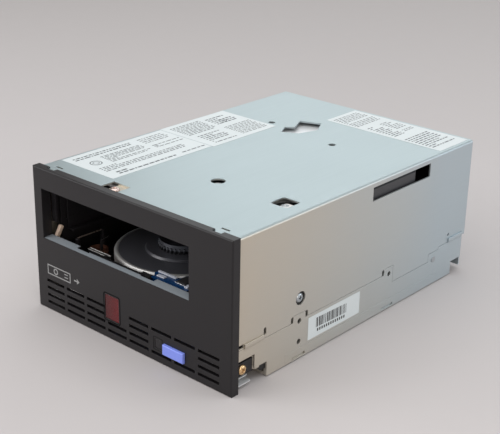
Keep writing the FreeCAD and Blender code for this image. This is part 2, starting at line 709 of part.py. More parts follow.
def base_frame():
    body = new_body("base_frame")
    outline = sketch_on(body, "YZ", f"-{WALL}")
    polygon(
        outline,
        [("0", "upper_cut_height"), ("0", "seam_height")]
        + seam("0")
        + [
            ("base_rear", "seam_height"),
            ("base_rear", "base_step_height"),
            ("base_rear - base_step", "base_step_height"),
            ("base_rear - base_step", "0"),
            ("front_cut_depth", "0"),
            ("front_cut_depth", "front_cut_height"),
            ("upper_cut_depth", "front_cut_height"),
            ("upper_cut_depth", "upper_cut_height"),
        ],
    )
    pad(body, outline, "case_width")

    # the channel between the walls, with the lower part of each wall stepped in
    inside = sketch_on(body, "XZ", "-1")
    step = f"{JOGGLE} + sheet"
    narrow = f"{WALL} - 2 * sheet"
    wide = f"{WALL} - sheet"
    polygon(
        inside,
        [
            (f"-({narrow})", FLOOR),
            (narrow, FLOOR),
            (narrow, step),
            (wide, step),
            (wide, "case_height"),
            (f"-({wide})", "case_height"),
            (f"-({wide})", step),
            (f"-({narrow})", step),
        ],
    )
    pocket(body, inside, "base_rear + 2")

    # the recess that the bottom cover and its lips fill
    under = sketch_on(body, "XZ", "under_start - under_gap")
    rectangle(under, f"-{WALL} - 1", "-1", f"{WALL} + 1", "under_sheet")
    pocket(body, under, "under_length + 2 * under_gap")
    lips = sketch_on(body, "XZ", "under_start - under_gap")
    rectangle(lips, f"{WALL} - under_sheet - under_gap", "0", f"{WALL} + 1", JOGGLE)
    rectangle(lips, f"-{WALL} - 1", "0", f"-{WALL} + under_sheet + under_gap", JOGGLE)
    pocket(body, lips, "under_length + 2 * under_gap")

    opening = sketch_on(body, "XY", "0")
    rectangle(
        opening,
        "-floor_open_half",
        "floor_open_start",
        "floor_open_half",
        "floor_open_start + floor_open_length",
    )
    for side in ("-", ""):
        for along in ("mount_front", REAR_MOUNT):
            circle(opening, f"{side}({BOTTOM_HOLE})", along, "mount_radius")
    pocket(body, opening, f"{FLOOR} + 1")

    holes = sketch_on(body, "YZ", f"-{WALL} - 1")
    circle(holes, "mount_front", "mount_high", "mount_radius")
    circle(holes, REAR_MOUNT, "mount_high", "mount_radius")
    circle(holes, "mount_front", "mount_low", "mount_radius")
    pocket(body, holes, "case_width + 2")

    # tongues at the front, set in behind the bezel's ears, that the side screws are tapped into
    tongue = sketch_on(body, "XY", "side_screw_z - side_tongue_half")
    outer = f"{WALL} - sheet - ear_thick - seat_gap"
    inner = f"{outer} - sheet"
    front = "side_screw_y - screw_head_radius - 0.6"
    polygon(
        tongue,
        [
            (inner, front),
            (outer, front),
            (outer, f"{TONGUE_BEND} - ear_thick"),
            (f"{WALL} - sheet", TONGUE_BEND),
            (f"{WALL} - sheet / 2", TONGUE_BEND),
            (f"{WALL} - sheet / 2", f"{TONGUE_BEND} + 3"),
            (f"{WALL} - 2 * sheet", f"{TONGUE_BEND} + 3"),
            (f"{WALL} - 2 * sheet", f"{TONGUE_BEND} + sheet / 2"),
            (inner, f"{TONGUE_BEND} - ear_thick + sheet / 2"),
        ],
    )
    flat = pad(body, tongue, "2 * side_tongue_half")
    tapped = sketch_on(body, "YZ", f"{inner} - 1")
    circle(tapped, "side_screw_y", "side_screw_z", "screw_radius + under_gap")
    hole = pocket(body, tapped, "sheet + 2")
    mirrored(body, [flat, hole])

    # lips that stand out over the lower edge of the cover
    lip = sketch_on(body, "XZ", "front_lip")
    base_lip(lip)
    first = pad(body, lip, "front_lip_length")
    lip = sketch_on(body, "XZ", "rear_lip")
    base_lip(lip)
    second = pad(body, lip, "rear_lip_length")
    mirrored(body, [first, second])


TONGUE_BEND = "upper_cut_depth + sheet"


def base_lip(drawing):
    """The section of a lip, as a sheet edge that is set outwards."""
    polygon(
        drawing,
        [
            (f"{WALL} - sheet / 2", "seam_height - lip_slope"),
            (f"{WALL} + lip_rise", "seam_height + lip_slope / 2"),
            (f"{WALL} + lip_rise", "seam_height + lip_high"),
            (f"{WALL} + seam_gap / 2", "seam_height + lip_high"),
            (f"{WALL} + seam_gap / 2", "seam_height"),
            (f"{WALL} - sheet / 2", "seam_height"),
        ],
    )


def top_cover():
    body = new_body("top_cover")
    profile = sketch_on(body, "XZ", "0")
    rectangle(profile, f"-{WALL}", SEAM_LOW, WALL, ROOF)
    pad(body, profile, "case_depth")
    rounded(body, "cover_bend", roof_corner)

    inside = sketch_on(body, "XZ", "-1")
    rectangle(inside, f"-{WALL} + sheet", "0", f"{WALL} - sheet", f"{ROOF} - sheet")
    pocket(body, inside, "case_depth + 2")

    below = sketch_on(body, "YZ", f"-{WALL} - 1")
    polygon(
        below,
        [("-1", "0"), ("-1", "seam_height + seam_gap")]
        + seam("seam_gap")
        + [("case_depth + 1", "seam_height + seam_gap"), ("case_depth + 1", "0")],
    )
    pocket(body, below, "case_width + 2")

    window = sketch_on(body, "YZ", f"{WALL} - 2 * sheet")
    rectangle(
        window,
        "side_window_start",
        WINDOW_SILL,
        "side_window_start + side_window_length",
        f"{WINDOW_SILL} + side_window_height",
    )
    circle(window, "side_hole_y", "side_hole_z", "side_hole_radius")
    pocket(body, window, "3 * sheet")

    openings = sketch_on(body, "XY", f"{ROOF} - 2 * sheet")
    circle(openings, "round_hole_x", "round_hole_y", "round_hole_radius")
    circle(openings, "gauge_hole_left_x", "gauge_hole_left_y", "gauge_hole_radius")
    circle(openings, "gauge_hole_right_x", "gauge_hole_right_y", "gauge_hole_radius")
    rectangle(
        openings,
        "square_hole_x - square_hole_half",
        "square_hole_y - square_hole_half",
        "square_hole_x + square_hole_half",
        "square_hole_y + square_hole_half",
    )
    polygon(openings, service_outline())
    pocket(body, openings, "3 * sheet")
    rounded(body, "square_hole_corner", square_corner)

    notch = sketch_on(body, "XY", f"{ROOF} - 2 * sheet")
    rectangle(notch, "notch_left", "-1", "notch_left + notch_width", "notch_length")
    pocket(body, notch, "3 * sheet")
    lowered = sketch_on(body, "YZ", "notch_left + notch_gap_left")
    polygon(
        lowered,
        [
            ("sheet", f"{ROOF} - notch_drop - sheet"),
            ("notch_length + sheet", f"{ROOF} - notch_drop - sheet"),
            ("notch_length + sheet", ROOF),
            ("notch_length", ROOF),
            ("notch_length", f"{ROOF} - notch_drop"),
            ("sheet", f"{ROOF} - notch_drop"),
        ],
    )
    pad(body, lowered, "notch_width - notch_gap_left - notch_gap_right")
    drilled = sketch_on(body, "XY", f"{ROOF} - notch_drop - 2 * sheet")
    circle(drilled, "top_screw_x", "top_screw_y", "screw_radius + under_gap")
    pocket(body, drilled, "3 * sheet")

    slots = sketch_on(body, "XY", f"{ROOF} - 2 * sheet")
    for left in ("left_tongue_x", "right_tongue_x"):
        tongue = sketch_on(body, "YZ", left)
        rectangle(tongue, "-tongue_reach", f"{ROOF} - sheet", "sheet", ROOF)
        pad(body, tongue, "tongue_width")
        rear = "tongue_slot + tongue_slot_length"
        rectangle(slots, left, "tongue_slot", f"{left} + tongue_width", rear)
    pocket(body, slots, "3 * sheet")

    # relief slots beside the mounting tabs, gauge slots and the notches before the front lips
    relief = sketch_on(body, "YZ", f"-{WALL} - 1")
    bottom = "seam_height + relief_radius / 2"
    for along in (
        "mount_front - mount_tab_half - relief_offset",
        "mount_front + mount_tab_half + relief_offset",
        f"{REAR_MOUNT} - mount_tab_half - relief_offset",
    ):
        slot(relief, (along, bottom), (along, f"{bottom} + relief_length"), "relief_radius")
    end = "front_lip + front_lip_length + 1"
    slot(relief, (end, "gauge_slot_z"), (end, "gauge_slot_z + relief_length"), "relief_radius")
    circle(relief, "rear_gauge_y", "rear_gauge_z", "rear_gauge_radius")
    low = "seam_height + corner_notch_low"
    rectangle(relief, "-1", low, "corner_notch", f"{low} + corner_notch_height")
    pocket(body, relief, "case_width + 2")


def square_corner(edge):
    """The upright corner edges of the square hole."""
    box_of = edge.BoundBox
    reach = value("square_hole_half") + 0.01
    near_x = abs(box_of.Center.x - value("square_hole_x")) < reach
    near_y = abs(box_of.Center.y - value("square_hole_y")) < reach
    return near_x and near_y and box_of.ZLength > value("sheet") / 2


def roof_corner(edge):
    """The two long upper edges of the cover."""
    box_of = edge.BoundBox
    return box_of.YLength > value("case_depth") - 1 and box_of.ZMin > value(f"{ROOF} - sheet")


# corners of the service opening from its front corner
SERVICE_SHAPE = (
    (0.0, 0.0),
    (9.3, 4.9),
    (13.4, 17.7),
    (6.5, 30.1),
    (-5.7, 24.7),
    (-0.3, 12.8),
    (-4.9, 9.2),
)


def service_outline():
    """The stepped opening over the take-up reel, askew to the case."""
    return [
        (f"service_x + {across} * service_scale", f"service_y + {along} * service_scale")
        for across, along in SERVICE_SHAPE
    ]


def bottom_cover():
    body = new_body("bottom_cover")
    profile = sketch_on(body, "XZ", "under_start")
    wall = f"{WALL} - under_sheet"
    polygon(
        profile,
        [
            (f"-{WALL}", "0"),
            (WALL, "0"),
            (WALL, "under_lip"),
            (wall, "under_lip"),
            (wall, "under_sheet"),
            (f"-({wall})", "under_sheet"),
            (f"-({wall})", "under_lip"),
            (f"-{WALL}", "under_lip"),
        ],
    )
    pad(body, profile, "under_length")
    slots = sketch_on(body, "YZ", f"-{WALL} - 1")
    for hole in ("mount_front", REAR_MOUNT):
        rectangle(
            slots,
            f"{hole} - under_slot / 2",
            "under_sheet",
            f"{hole} + under_slot / 2",
            "under_sheet + under_slot_height",
        )
    pocket(body, slots, "case_width + 2")
    access = sketch_on(body, "XY", "-1")
    for side in ("-", ""):
        for along in ("mount_front", REAR_MOUNT):
            circle(access, f"{side}({BOTTOM_HOLE} - 1)", along, "access_radius - 1")
    pocket(body, access, "under_sheet + 2")


def rear_panel():
    body = new_body("rear_panel")
    front = REAR_FACE
    plate = sketch_on(body, "XZ", front)
    half = f"{WALL} - sheet - rear_fit"
    rectangle(plate, f"-({half})", FLOOR, half, f"{ROOF} - sheet - rear_fit")
    pad(body, plate, "rear_sheet")
    sockets = sketch_on(body, "XZ", f"{front} - 1")
    for middle, low, width, height in SOCKETS:
        rectangle(
            sockets,
            f"{middle} - {width} / 2 - rear_fit",
            f"{low} - rear_fit",
            f"{middle} + {width} / 2 + rear_fit",
            f"{low} + {height} + rear_fit",
        )
    pocket(body, sockets, "rear_sheet + 2")
    vent = sketch_on(body, "XZ", f"{front} - 1")
    left = "-vent_pitch * 2.5"
    rectangle(vent, left, "rear_vent_low", f"{left} + vent_length", "rear_vent_low + vent_height")
    first = pocket(body, vent, "rear_sheet + 2")
    grid = repeated(body, [first], "X_Axis", "5", "vent_pitch * 4")
    grid.Direction2 = (origin_item(body, "Z_Axis"), [""])
    grid.Occurrences2 = 4
    grid.setExpression("Length2", bound("vent_rise * 3"))
    # the foot that lies on the base between its walls
    foot = sketch_on(body, "XZ", f"{front} - rear_foot")
    rectangle(foot, "-rear_foot_half", FLOOR, "rear_foot_half", f"{FLOOR} + rear_sheet")
    pad(body, foot, "rear_foot + rear_sheet / 2")


BOARD_TOP = "main_board_low + board_thick"
POWER = ("power_x", f"{BOARD_TOP}", "power_width", "power_height")
DATA = ("data_x", f"{BOARD_TOP}", "data_width", "data_height")
LIBRARY = ("library_x", f"{BOARD_TOP}", "library_width", "library_height")
SOCKETS = (POWER, DATA, LIBRARY)


# ---------------------------------------------------------------- bezel and what it carries
FACE = "-bezel_depth"
BEHIND_FACE = "-bezel_depth + bezel_face"
BEZEL_HALF = "case_width / 2 + bezel_side"
BEZEL_LOW = "-bezel_over"
BEZEL_HIGH = "case_height + bezel_over"
SLOT_RIGHT = "slot_left + slot_width"
SLOT_TOP = "slot_sill + slot_height"


def bezel():
    body = new_body("bezel")
    face = sketch_on(body, "XZ", FACE)
    rectangle(face, f"-({BEZEL_HALF})", BEZEL_LOW, BEZEL_HALF, BEZEL_HIGH)
    pad(body, face, "bezel_depth")
    rounded(body, "bezel_round", bezel_edge)

    hollow = sketch_on(body, "XZ", BEHIND_FACE)
    rectangle(
        hollow,
        f"-({BEZEL_HALF} - bezel_wall)",
        f"{BEZEL_LOW} + bezel_wall",
        f"{BEZEL_HALF} - bezel_wall",
        f"{BEZEL_HIGH} - bezel_wall",
    )
    pocket(body, hollow, "bezel_depth")

    collar = sketch_on(body, "XZ", f"{BEHIND_FACE} - 1")
    rectangle(
        collar,
        "slot_left - collar_wall",
        "slot_sill - collar_wall",
        f"{SLOT_RIGHT} + collar_wall",
        f"{SLOT_TOP} + collar_wall",
    )
    pad(body, collar, "1 + bezel_depth - bezel_face + collar_reach")
    opening = sketch_on(body, "XZ", f"{FACE} - 1")
    rectangle(opening, "slot_left", "slot_sill", SLOT_RIGHT, SLOT_TOP)
    pocket(body, opening, "bezel_depth + collar_reach + 2")
    notches = sketch_on(body, "XY", "slot_sill - collar_wall - 1")
    for left in ("sill_notch_left", "sill_notch_right"):
        rectangle(
            notches,
            left,
            "collar_reach - sill_notch_depth",
            f"{left} + sill_notch_width",
            "collar_reach + 1",
        )
    pocket(body, notches, "collar_wall + 2")
    gaps = sketch_on(body, "XY", f"{BEZEL_HIGH} - bezel_wall - 1")
    for left in ("left_tongue_x", "right_tongue_x"):
        right = f"{left} + tongue_width + tongue_fit"
        rectangle(gaps, f"{left} - tongue_fit", "-tongue_reach - tongue_fit", right, "1")
    pocket(body, gaps, "bezel_wall + 2")

    windows = sketch_on(body, "XZ", f"{FACE} - 1")
    for left, low, width, height, fit in FRONT_OPENINGS:
        rectangle(
            windows,
            f"{left} - {fit}",
            f"{low} - {fit}",
            f"{left} + {width} + {fit}",
            f"{low} + {height} + {fit}",
        )
    pocket(body, windows, "bezel_face + 2")

    # vents: whole columns, columns with only the two lowest rows, columns with rows 1 and 4
    for columns, rows, spread in (((0, 1, 2, 4, 7), 4, 3), ((3,), 2, 1), ((5, 6), 2, 3)):
        vents = sketch_on(body, "XZ", f"{FACE} - 1")
        for column in columns:
            left = f"vent_first + {column} * vent_pitch"
            rectangle(
                vents,
                left,
                "vent_low - vent_height / 2",
                f"{left} + vent_length",
                "vent_low + vent_height / 2",
            )
        lowest = pocket(body, vents, "bezel_face + 2")
        repeated(body, [lowest], "Z_Axis", str(rows), f"{spread} * vent_rise")

    # the boss under the screw in the top, and the ears over the side tongues
    boss = sketch_on(body, "XZ", f"{BEHIND_FACE} - 1")
    rectangle(
        boss,
        "notch_left + 1",
        f"{ROOF} - notch_drop - sheet - 4",
        "notch_left + notch_width - 1",
        f"{ROOF} - notch_drop - sheet - seat_gap",
    )
    pad(body, boss, "notch_length + 3")
    bore = sketch_on(body, "XY", f"{ROOF} - notch_drop - sheet - 5")
    circle(bore, "top_screw_x", "top_screw_y", "screw_radius")
    pocket(body, bore, "6")
    ear = sketch_on(body, "XZ", f"{BEHIND_FACE} - 1")
    outer = f"{WALL} - sheet"
    rectangle(
        ear,
        f"{outer} - ear_thick",
        "side_screw_z - side_tongue_half",
        outer,
        "side_screw_z + side_tongue_half",
    )
    right = pad(body, ear, f"{TONGUE_BEND} - ear_thick - seat_gap - ({BEHIND_FACE} - 1)")
    drilled = sketch_on(body, "YZ", f"{outer} - ear_thick - 1")
    circle(drilled, "side_screw_y", "side_screw_z", "screw_radius + under_gap")
    hole = pocket(body, drilled, "ear_thick + 2")
    mirrored(body, [right, hole])


FRONT_OPENINGS = (
    ("display_left", "display_low", "display_width", "display_height", "0"),
    ("lens_left", "lens_low", "lens_width", "lens_height", "0"),
    ("button_left", "button_low", "button_width", "button_height", "button_fit"),
)


def bezel_edge(edge):
    """The outer edges of the bezel's front face."""
    box_of = edge.BoundBox
    return box_of.YMax < value(FACE) + 0.01 and edge.Length > value("case_height") - 1


def lens(label, left, low, width, height):
    """A flush lens with a lip behind the bezel's wall."""
    body = new_body(label)
    pane = sketch_on(body, "XZ", f"{FACE} + 0.2")
    rectangle(
        pane,
        f"{left} + lens_fit",
        f"{low} + lens_fit",
        f"{left} + {width} - lens_fit",
        f"{low} + {height} - lens_fit",
    )
    pad(body, pane, "bezel_face + lens_thick / 2 - 0.2")
    lip = sketch_on(body, "XZ", f"{BEHIND_FACE} + seat_gap")
    rectangle(
        lip,
        f"{left} - lens_lip",
        f"{low} - lens_lip",
        f"{left} + {width} + lens_lip",
        f"{low} + {height} + lens_lip",
    )
    pad(body, lip, "lens_thick / 2 - seat_gap")


def unload_button():
    body = new_body("unload_button")
    cap = sketch_on(body, "XZ", FRONT)
    right = "button_left + button_width"
    high = "button_low + button_height"
    rectangle(cap, "button_left", "button_low", right, high)
    pad(body, cap, "bezel_face + button_proud + 0.5")
    rounded(body, "button_round", button_edge)
    skirt = sketch_on(body, "XZ", f"{BEHIND_FACE} + seat_gap")
    rectangle(
        skirt,
        "button_left - button_skirt",
        "button_low - button_skirt",
        f"{right} + button_skirt",
        f"{high} + button_skirt",
    )
    pad(body, skirt, "1")
    stem = sketch_on(body, "XZ", f"{BEHIND_FACE} + seat_gap")
    circle(stem, STEM_X, STEM_Z, "stem_radius")
    pad(body, stem, "front_board_y - 1.6 - button_travel - (bezel_face - bezel_depth)")


def button_edge(edge):
    return edge.BoundBox.YMax < value(FRONT) + 0.01


STEM_X = "button_left + button_width / 2"
STEM_Z = "button_low + button_height / 2"


def button_switch():
    """The switch on the front board, with the hole that takes the button's stem."""
    body = new_body("button_switch")
    front = "front_board_y - 3.6"
    case = sketch_on(body, "XZ", front)
    rectangle(case, f"{STEM_X} - 3.5", f"{STEM_Z} - 3.5", f"{STEM_X} + 3.5", f"{STEM_Z} + 3.5")
    pad(body, case, "3.6 - seat_gap")
    well = sketch_on(body, "XZ", f"{front} - 1")
    circle(well, STEM_X, STEM_Z, "stem_radius + stem_fit")
    pocket(body, well, "1 + 3.6 - 0.8")


def front_electronics():
    right = "front_board_left + front_board_width"
    high = "front_board_low + front_board_height"
    slab(
        "front_board",
        "XZ",
        "front_board_y",
        "board_thick",
        [
            ("front_board_left", "front_board_low"),
            (right, "front_board_low"),
            (right, high),
            ("front_board_left", high),
        ],
    )
    node(
        "Part::Compound",
        "display_module",
        [
            box(
                "display_left - lens_lip",
                "-bezel_depth + bezel_face + lens_thick / 2 + seat_gap",
                "display_low - lens_lip",
                "display_left + display_width + lens_lip",
                "front_board_y - seat_gap",
                "display_low + display_height + lens_lip",
            )
        ],
    )
    node(
        "Part::Compound",
        "status_lamp",
        [
            box(
                "lens_left",
                "-bezel_depth + bezel_face + lens_thick / 2 + seat_gap",
                "lens_low + 1",
                "lens_left + lens_width",
                "front_board_y - seat_gap",
                "lens_low + lens_height - 1",
            )
        ],
    )


# ---------------------------------------------------------------- inner frame
DECK_TOP = "deck_low + deck_thick"
UPPER_TOP = f"{UPPER_LOW} + upper_thick"


def deck():
    """The cast deck: a plate with a rim, bosses for the motors and holes for its posts."""
    body = new_body("deck")
    rear = DECK_REAR
    plate = sketch_on(body, "XY", "deck_low")
    rectangle(plate, f"-{DECK_HALF}", "deck_front", DECK_HALF, rear)
    pad(body, plate, "deck_thick")
    rim = sketch_on(body, "XY", "deck_low - deck_rim")
    rectangle(rim, f"-{DECK_HALF}", "deck_front", DECK_HALF, rear)
    rectangle(
        rim,
        f"-{DECK_HALF} + deck_rim_wall",
        "deck_front + deck_rim_wall",
        f"{DECK_HALF} - deck_rim_wall",
        f"{rear} - deck_rim_wall",
    )
    pad(body, rim, "deck_rim + 0.5")
    holes = sketch_on(body, "XY", "deck_low - deck_rim - 1")
    circle(holes, "bay_mid", "spindle_y", "shaft_radius + 4")
    circle(holes, "reel_x", "reel_y", "shaft_radius + 4")
    pocket(body, holes, "deck_rim + deck_thick + 2")


MIDDLE = f"(deck_front + {DECK_REAR}) / 2"


def floor_posts():
    """The posts on the base that carry the deck and the main board."""
    posts = []
    for side in ("-", ""):
        for along in ("deck_front + deck_post_inset", MIDDLE, f"{DECK_REAR} - deck_post_inset / 2"):
            across = f"{side}deck_post_x"
            posts.append(hex_post(across, along, FLOOR, "deck_low", "deck_post_radius"))
        for along in ("main_board_front + 5", f"{BOARD_REAR} - deck_post_inset"):
            across = f"{side}({BOARD_HALF} - 1)"
            posts.append(hex_post(across, along, FLOOR, "main_board_low", "board_post_radius"))
    node("Part::Compound", "floor_posts", posts)


def upper_frame():
    """The plate over the mechanism, with the pivot of the threading arm."""
    body = new_body("upper_frame")
    plate = sketch_on(body, "XY", UPPER_LOW)
    rectangle(plate, f"-{DECK_HALF}", "upper_front", DECK_HALF, UPPER_REAR)
    pad(body, plate, "upper_thick")
    holes = sketch_on(body, "XY", f"{UPPER_LOW} - 1")
    for side in ("-", ""):
        across = f"{side}upper_slot_x"
        rear = "upper_slot_y + upper_slot_length"
        slot(holes, (across, "upper_slot_y"), (across, rear), "upper_slot_radius")
    circle(holes, "square_hole_x", "square_hole_y", "screw_radius + under_gap")
    pocket(body, holes, "upper_thick + 2")
    pivot = sketch_on(body, "XY", "arm_low - 1")
    circle(pivot, "guide_x", "guide_y", "pivot_radius")
    pad(body, pivot, f"{UPPER_LOW} - arm_low + 1.5")
    keeper = sketch_on(body, "XY", "arm_low - 1.2")
    circle(keeper, "guide_x", "guide_y", "pivot_radius + 1.5")
    pad(body, keeper, "1.2 - axle_fit")


def standoffs():
    """The posts on the deck that carry the upper frame and the sensor card."""
    posts = []
    across = f"({DECK_HALF} - upper_post_inset)"
    rear = f"{DECK_REAR} - upper_post_inset - 2"
    for x, y in (
        (f"-{across}", "upper_post_y"),
        (f"-{across}", rear),
        (across, rear),
        ("corner_post_x", "corner_post_y"),
    ):
        posts.append(hex_post(x, y, DECK_TOP, UPPER_LOW, "upper_post_radius"))
    for x in ("card_left + 2", "card_left + card_width - 2"):
        posts.append(hex_post(x, "deck_front + 1.5", DECK_TOP, "card_low", "card_post_radius"))
    node("Part::Compound", "standoffs", posts)


def rail(label, side):
    """A guide rail: a plate on two feet with upright slots for the pins of the tray."""
    body = new_body(label)
    face = "bay_mid + rail_half" if side == 1 else "bay_mid - rail_half - rail_wall"
    rear = "rail_front + rail_length"
    plate = sketch_on(body, "YZ", face)
    polygon(
        plate,
        [
            ("rail_front", "rail_under"),
            ("deck_front", "rail_under"),
            ("deck_front", DECK_TOP),
            ("deck_front + rail_foot", DECK_TOP),
            ("deck_front + rail_foot", "rail_under"),
            (f"{rear} - rail_foot / 2", "rail_under"),
            (f"{rear} - rail_foot / 2", DECK_TOP),
            (rear, DECK_TOP),
            (rear, UPPER_LOW),
            ("rail_front", UPPER_LOW),
        ],
    )
    pad(body, plate, "rail_wall")
    slots = sketch_on(body, "YZ", f"{face} - 1")
    for pin in ("pin_front", "pin_rear"):
        slot(slots, (pin, "pin_height - tray_drop - 0.3"), (pin, "pin_height + 0.3"), PIN_SLOT)
    pocket(body, slots, "rail_wall + 2")
    if side == -1:
        front = "rail_front - rail_lip"
        tab = sketch_on(body, "YZ", face)
        rectangle(tab, front, "rail_lip_low", "rail_front + 1", "rail_lip_low + rail_lip_height")
        pad(body, tab, "rail_wall")
        lip = sketch_on(body, "XZ", front)
        rectangle(lip, face, "rail_lip_low", f"{face} + rail_lip", "rail_lip_low + rail_lip_height")
        pad(body, lip, "rail_wall")


PIN_SLOT = "pin_radius + pin_fit"


def cam_plate(label, side):
    """A sliding plate with two sloping slots that draw the tray's pins down."""
    body = new_body(label)
    face = "bay_mid + cam_half" if side == 1 else "bay_mid - cam_half - cam_wall"
    rear = "cam_front + cam_length"
    plate = sketch_on(body, "YZ", face)
    rectangle(plate, "cam_front", "cam_low", rear, "cam_high")
    pad(body, plate, "cam_wall")
    slots = sketch_on(body, "YZ", f"{face} - 1")
    for pin in ("pin_front", "pin_rear"):
        slot(
            slots,
            (f"{pin} - cam_travel", "pin_height - tray_drop"),
            (pin, "pin_height"),
            PIN_SLOT,
        )
    pocket(body, slots, "cam_wall + 2")
    return body


RACK_FRONT = "gear_y - rack_lead * gear_pitch"


def loader():
    left = cam_plate("cam_plate_left", -1)
    right = cam_plate("cam_plate_right", 1)
    # the rack stands out from the right plate, its teeth towards the case wall
    shelf = sketch_on(right, "XY", "cam_low")
    root = "rack_line - tooth_root * gear_pitch"
    tip = "rack_line + tooth_rise * gear_pitch"
    length = "rack_teeth * gear_pitch"
    rectangle(shelf, "bay_mid + cam_half", RACK_FRONT, root, f"{RACK_FRONT} + {length}")
    pad(right, shelf, "cam_wall")
    tooth = sketch_on(right, "XY", "cam_low")
    middle = f"{RACK_FRONT} + gear_pitch / 2"
    low = f"{middle} - gear_pitch * tooth_part / 2"
    high = f"{middle} + gear_pitch * tooth_part / 2"
    slope = "gear_pitch * 0.14"
    polygon(
        tooth,
        [
            (f"{root} - 0.2", f"{low} - {slope}"),
            (tip, f"{low} + {slope} / 2"),
            (tip, f"{high} - {slope} / 2"),
            (f"{root} - 0.2", f"{high} + {slope}"),
        ],
    )
    first = pad(right, tooth, "cam_wall")
    repeated(right, [first], "Y_Axis", "rack_teeth", "(rack_teeth - 1) * gear_pitch")
    node(
        "Part::Compound",
        "cam_bridge",
        [
            box(
                "bay_mid - cam_half",
                "cam_front + cam_length - bridge_width",
                "bridge_low",
                "bay_mid + cam_half",
                "cam_front + cam_length",
                "bridge_low + bridge_thick",
            )
        ],
    )


def tray():
    """The cartridge tray: a folded cover with a ledge along each side, open at both ends."""
    body = new_body("tray")
    profile = sketch_on(body, "XZ", "tray_front")
    inner = "tray_half"
    outer = "tray_half + tray_wall"
    ledge = "tray_half - tray_ledge"
    low = "tray_seat - tray_wall"
    corners = [
        (ledge, low),
        (outer, low),
        (outer, "tray_ceiling + tray_wall"),
    ]
    inside = [
        (inner, "tray_ceiling"),
        (inner, "tray_seat"),
        (ledge, "tray_seat"),
    ]
    loop = [(f"bay_mid + {across}", up) for across, up in corners]
    loop += [(f"bay_mid - ({across})", up) for across, up in reversed(corners)]
    loop += [(f"bay_mid - ({across})", up) for across, up in reversed(inside)]
    loop += [(f"bay_mid + {across}", up) for across, up in inside]
    polygon(profile, loop)
    pad(body, profile, "tray_length")
    window = sketch_on(body, "XY", "tray_ceiling - 1")
    circle(window, "bay_mid", "spindle_y", "16")
    pocket(body, window, "tray_wall + 2")
    for pin in ("pin_front", "pin_rear"):
        peg = sketch_on(body, "YZ", f"bay_mid + {inner}")
        circle(peg, pin, "pin_height", "pin_radius")
        pad(body, peg, "rail_half + rail_wall + 0.6 - tray_half")
        other = sketch_on(body, "YZ", "bay_mid - rail_half - rail_wall - 0.6")
        circle(other, pin, "pin_height", "pin_radius")
        pad(body, other, "rail_half + rail_wall + 0.6 - tray_half")


# ---------------------------------------------------------------- gears
def toothed(body, pitch, teeth, level, face):
    """A spur gear: a disc to the tooth roots and one tooth repeated round it."""
    radius = f"({pitch} * {teeth} / 6.283185)"
    root = f"({radius} - tooth_root * {pitch})"
    tip = f"({radius} + tooth_rise * {pitch})"
    disc = sketch_on(body, "XY", level)
    circle(disc, "0", "0", root)
    pad(body, disc, face)
    tooth = sketch_on(body, "XY", level)
    half = f"(180 / {teeth} * tooth_part)"
    corners = []
    for sign in (-1, 1):
        ends = ((f"{root} - 0.2", "1.25"), (radius, "1"), (tip, "0.55"))
        for reach, part in ends if sign == -1 else reversed(ends):
            angle = f"{sign} * {half} * {part}"
            corners.append((f"({reach}) * cos({angle})", f"({reach}) * sin({angle})"))
    polygon(tooth, corners)
    first = pad(body, tooth, face)
    turned_round(body, [first], teeth)


GEAR_X = "rack_line + gear_pitch * gear_teeth / 6.283185"
WHEEL_REACH = "wheel_pitch * (wheel_teeth + pinion_teeth) / 6.283185"
PINION_Y = f"gear_y + {WHEEL_REACH}"
WHEEL_LOW = "cam_low - 1 - gear_face"


def loader_gears():
    gear = new_body("loader_gear", GEAR_X, "gear_y", "0")
    toothed(gear, "gear_pitch", "gear_teeth", "cam_low - 1.5", "cam_wall + 1.7")
    toothed(gear, "wheel_pitch", "wheel_teeth", WHEEL_LOW, "gear_face")
    bore(gear, "axle_radius + axle_fit", "20")
    pinion = new_body("motor_pinion", GEAR_X, PINION_Y, "0")
    toothed(pinion, "wheel_pitch", "pinion_teeth", WHEEL_LOW, "gear_face")
    bore(pinion, "axle_radius - 0.5 + axle_fit", "gear_face + 2")


def bore(gear, radius, depth):
    hole = sketch_on(gear, "XY", f"{WHEEL_LOW} - 1")
    circle(hole, "0", "0", radius)
    pocket(gear, hole, depth)


def loader_motor():
    top = f"{DECK_TOP} + loader_motor_height"
    node(
        "Part::MultiFuse",
        "loader_motor",
        [
            post(GEAR_X, PINION_Y, DECK_TOP, top, "loader_motor_radius"),
            post(GEAR_X, PINION_Y, top, f"{WHEEL_LOW} + gear_face + 0.3", "axle_radius - 0.5"),
        ],
    )
    node(
        "Part::MultiFuse",
        "gear_axle",
        [
            post(GEAR_X, "gear_y", DECK_TOP, "cam_low + cam_wall + 1", "axle_radius"),
            post(GEAR_X, "gear_y", DECK_TOP, f"{WHEEL_LOW} - 0.3", "axle_radius + 2"),
        ],
    )


# ---------------------------------------------------------------- spindle and take-up reel
PLATE = "rotor_top - rotor_thick"
CLUTCH = "rotor_top + clutch_base_rise"


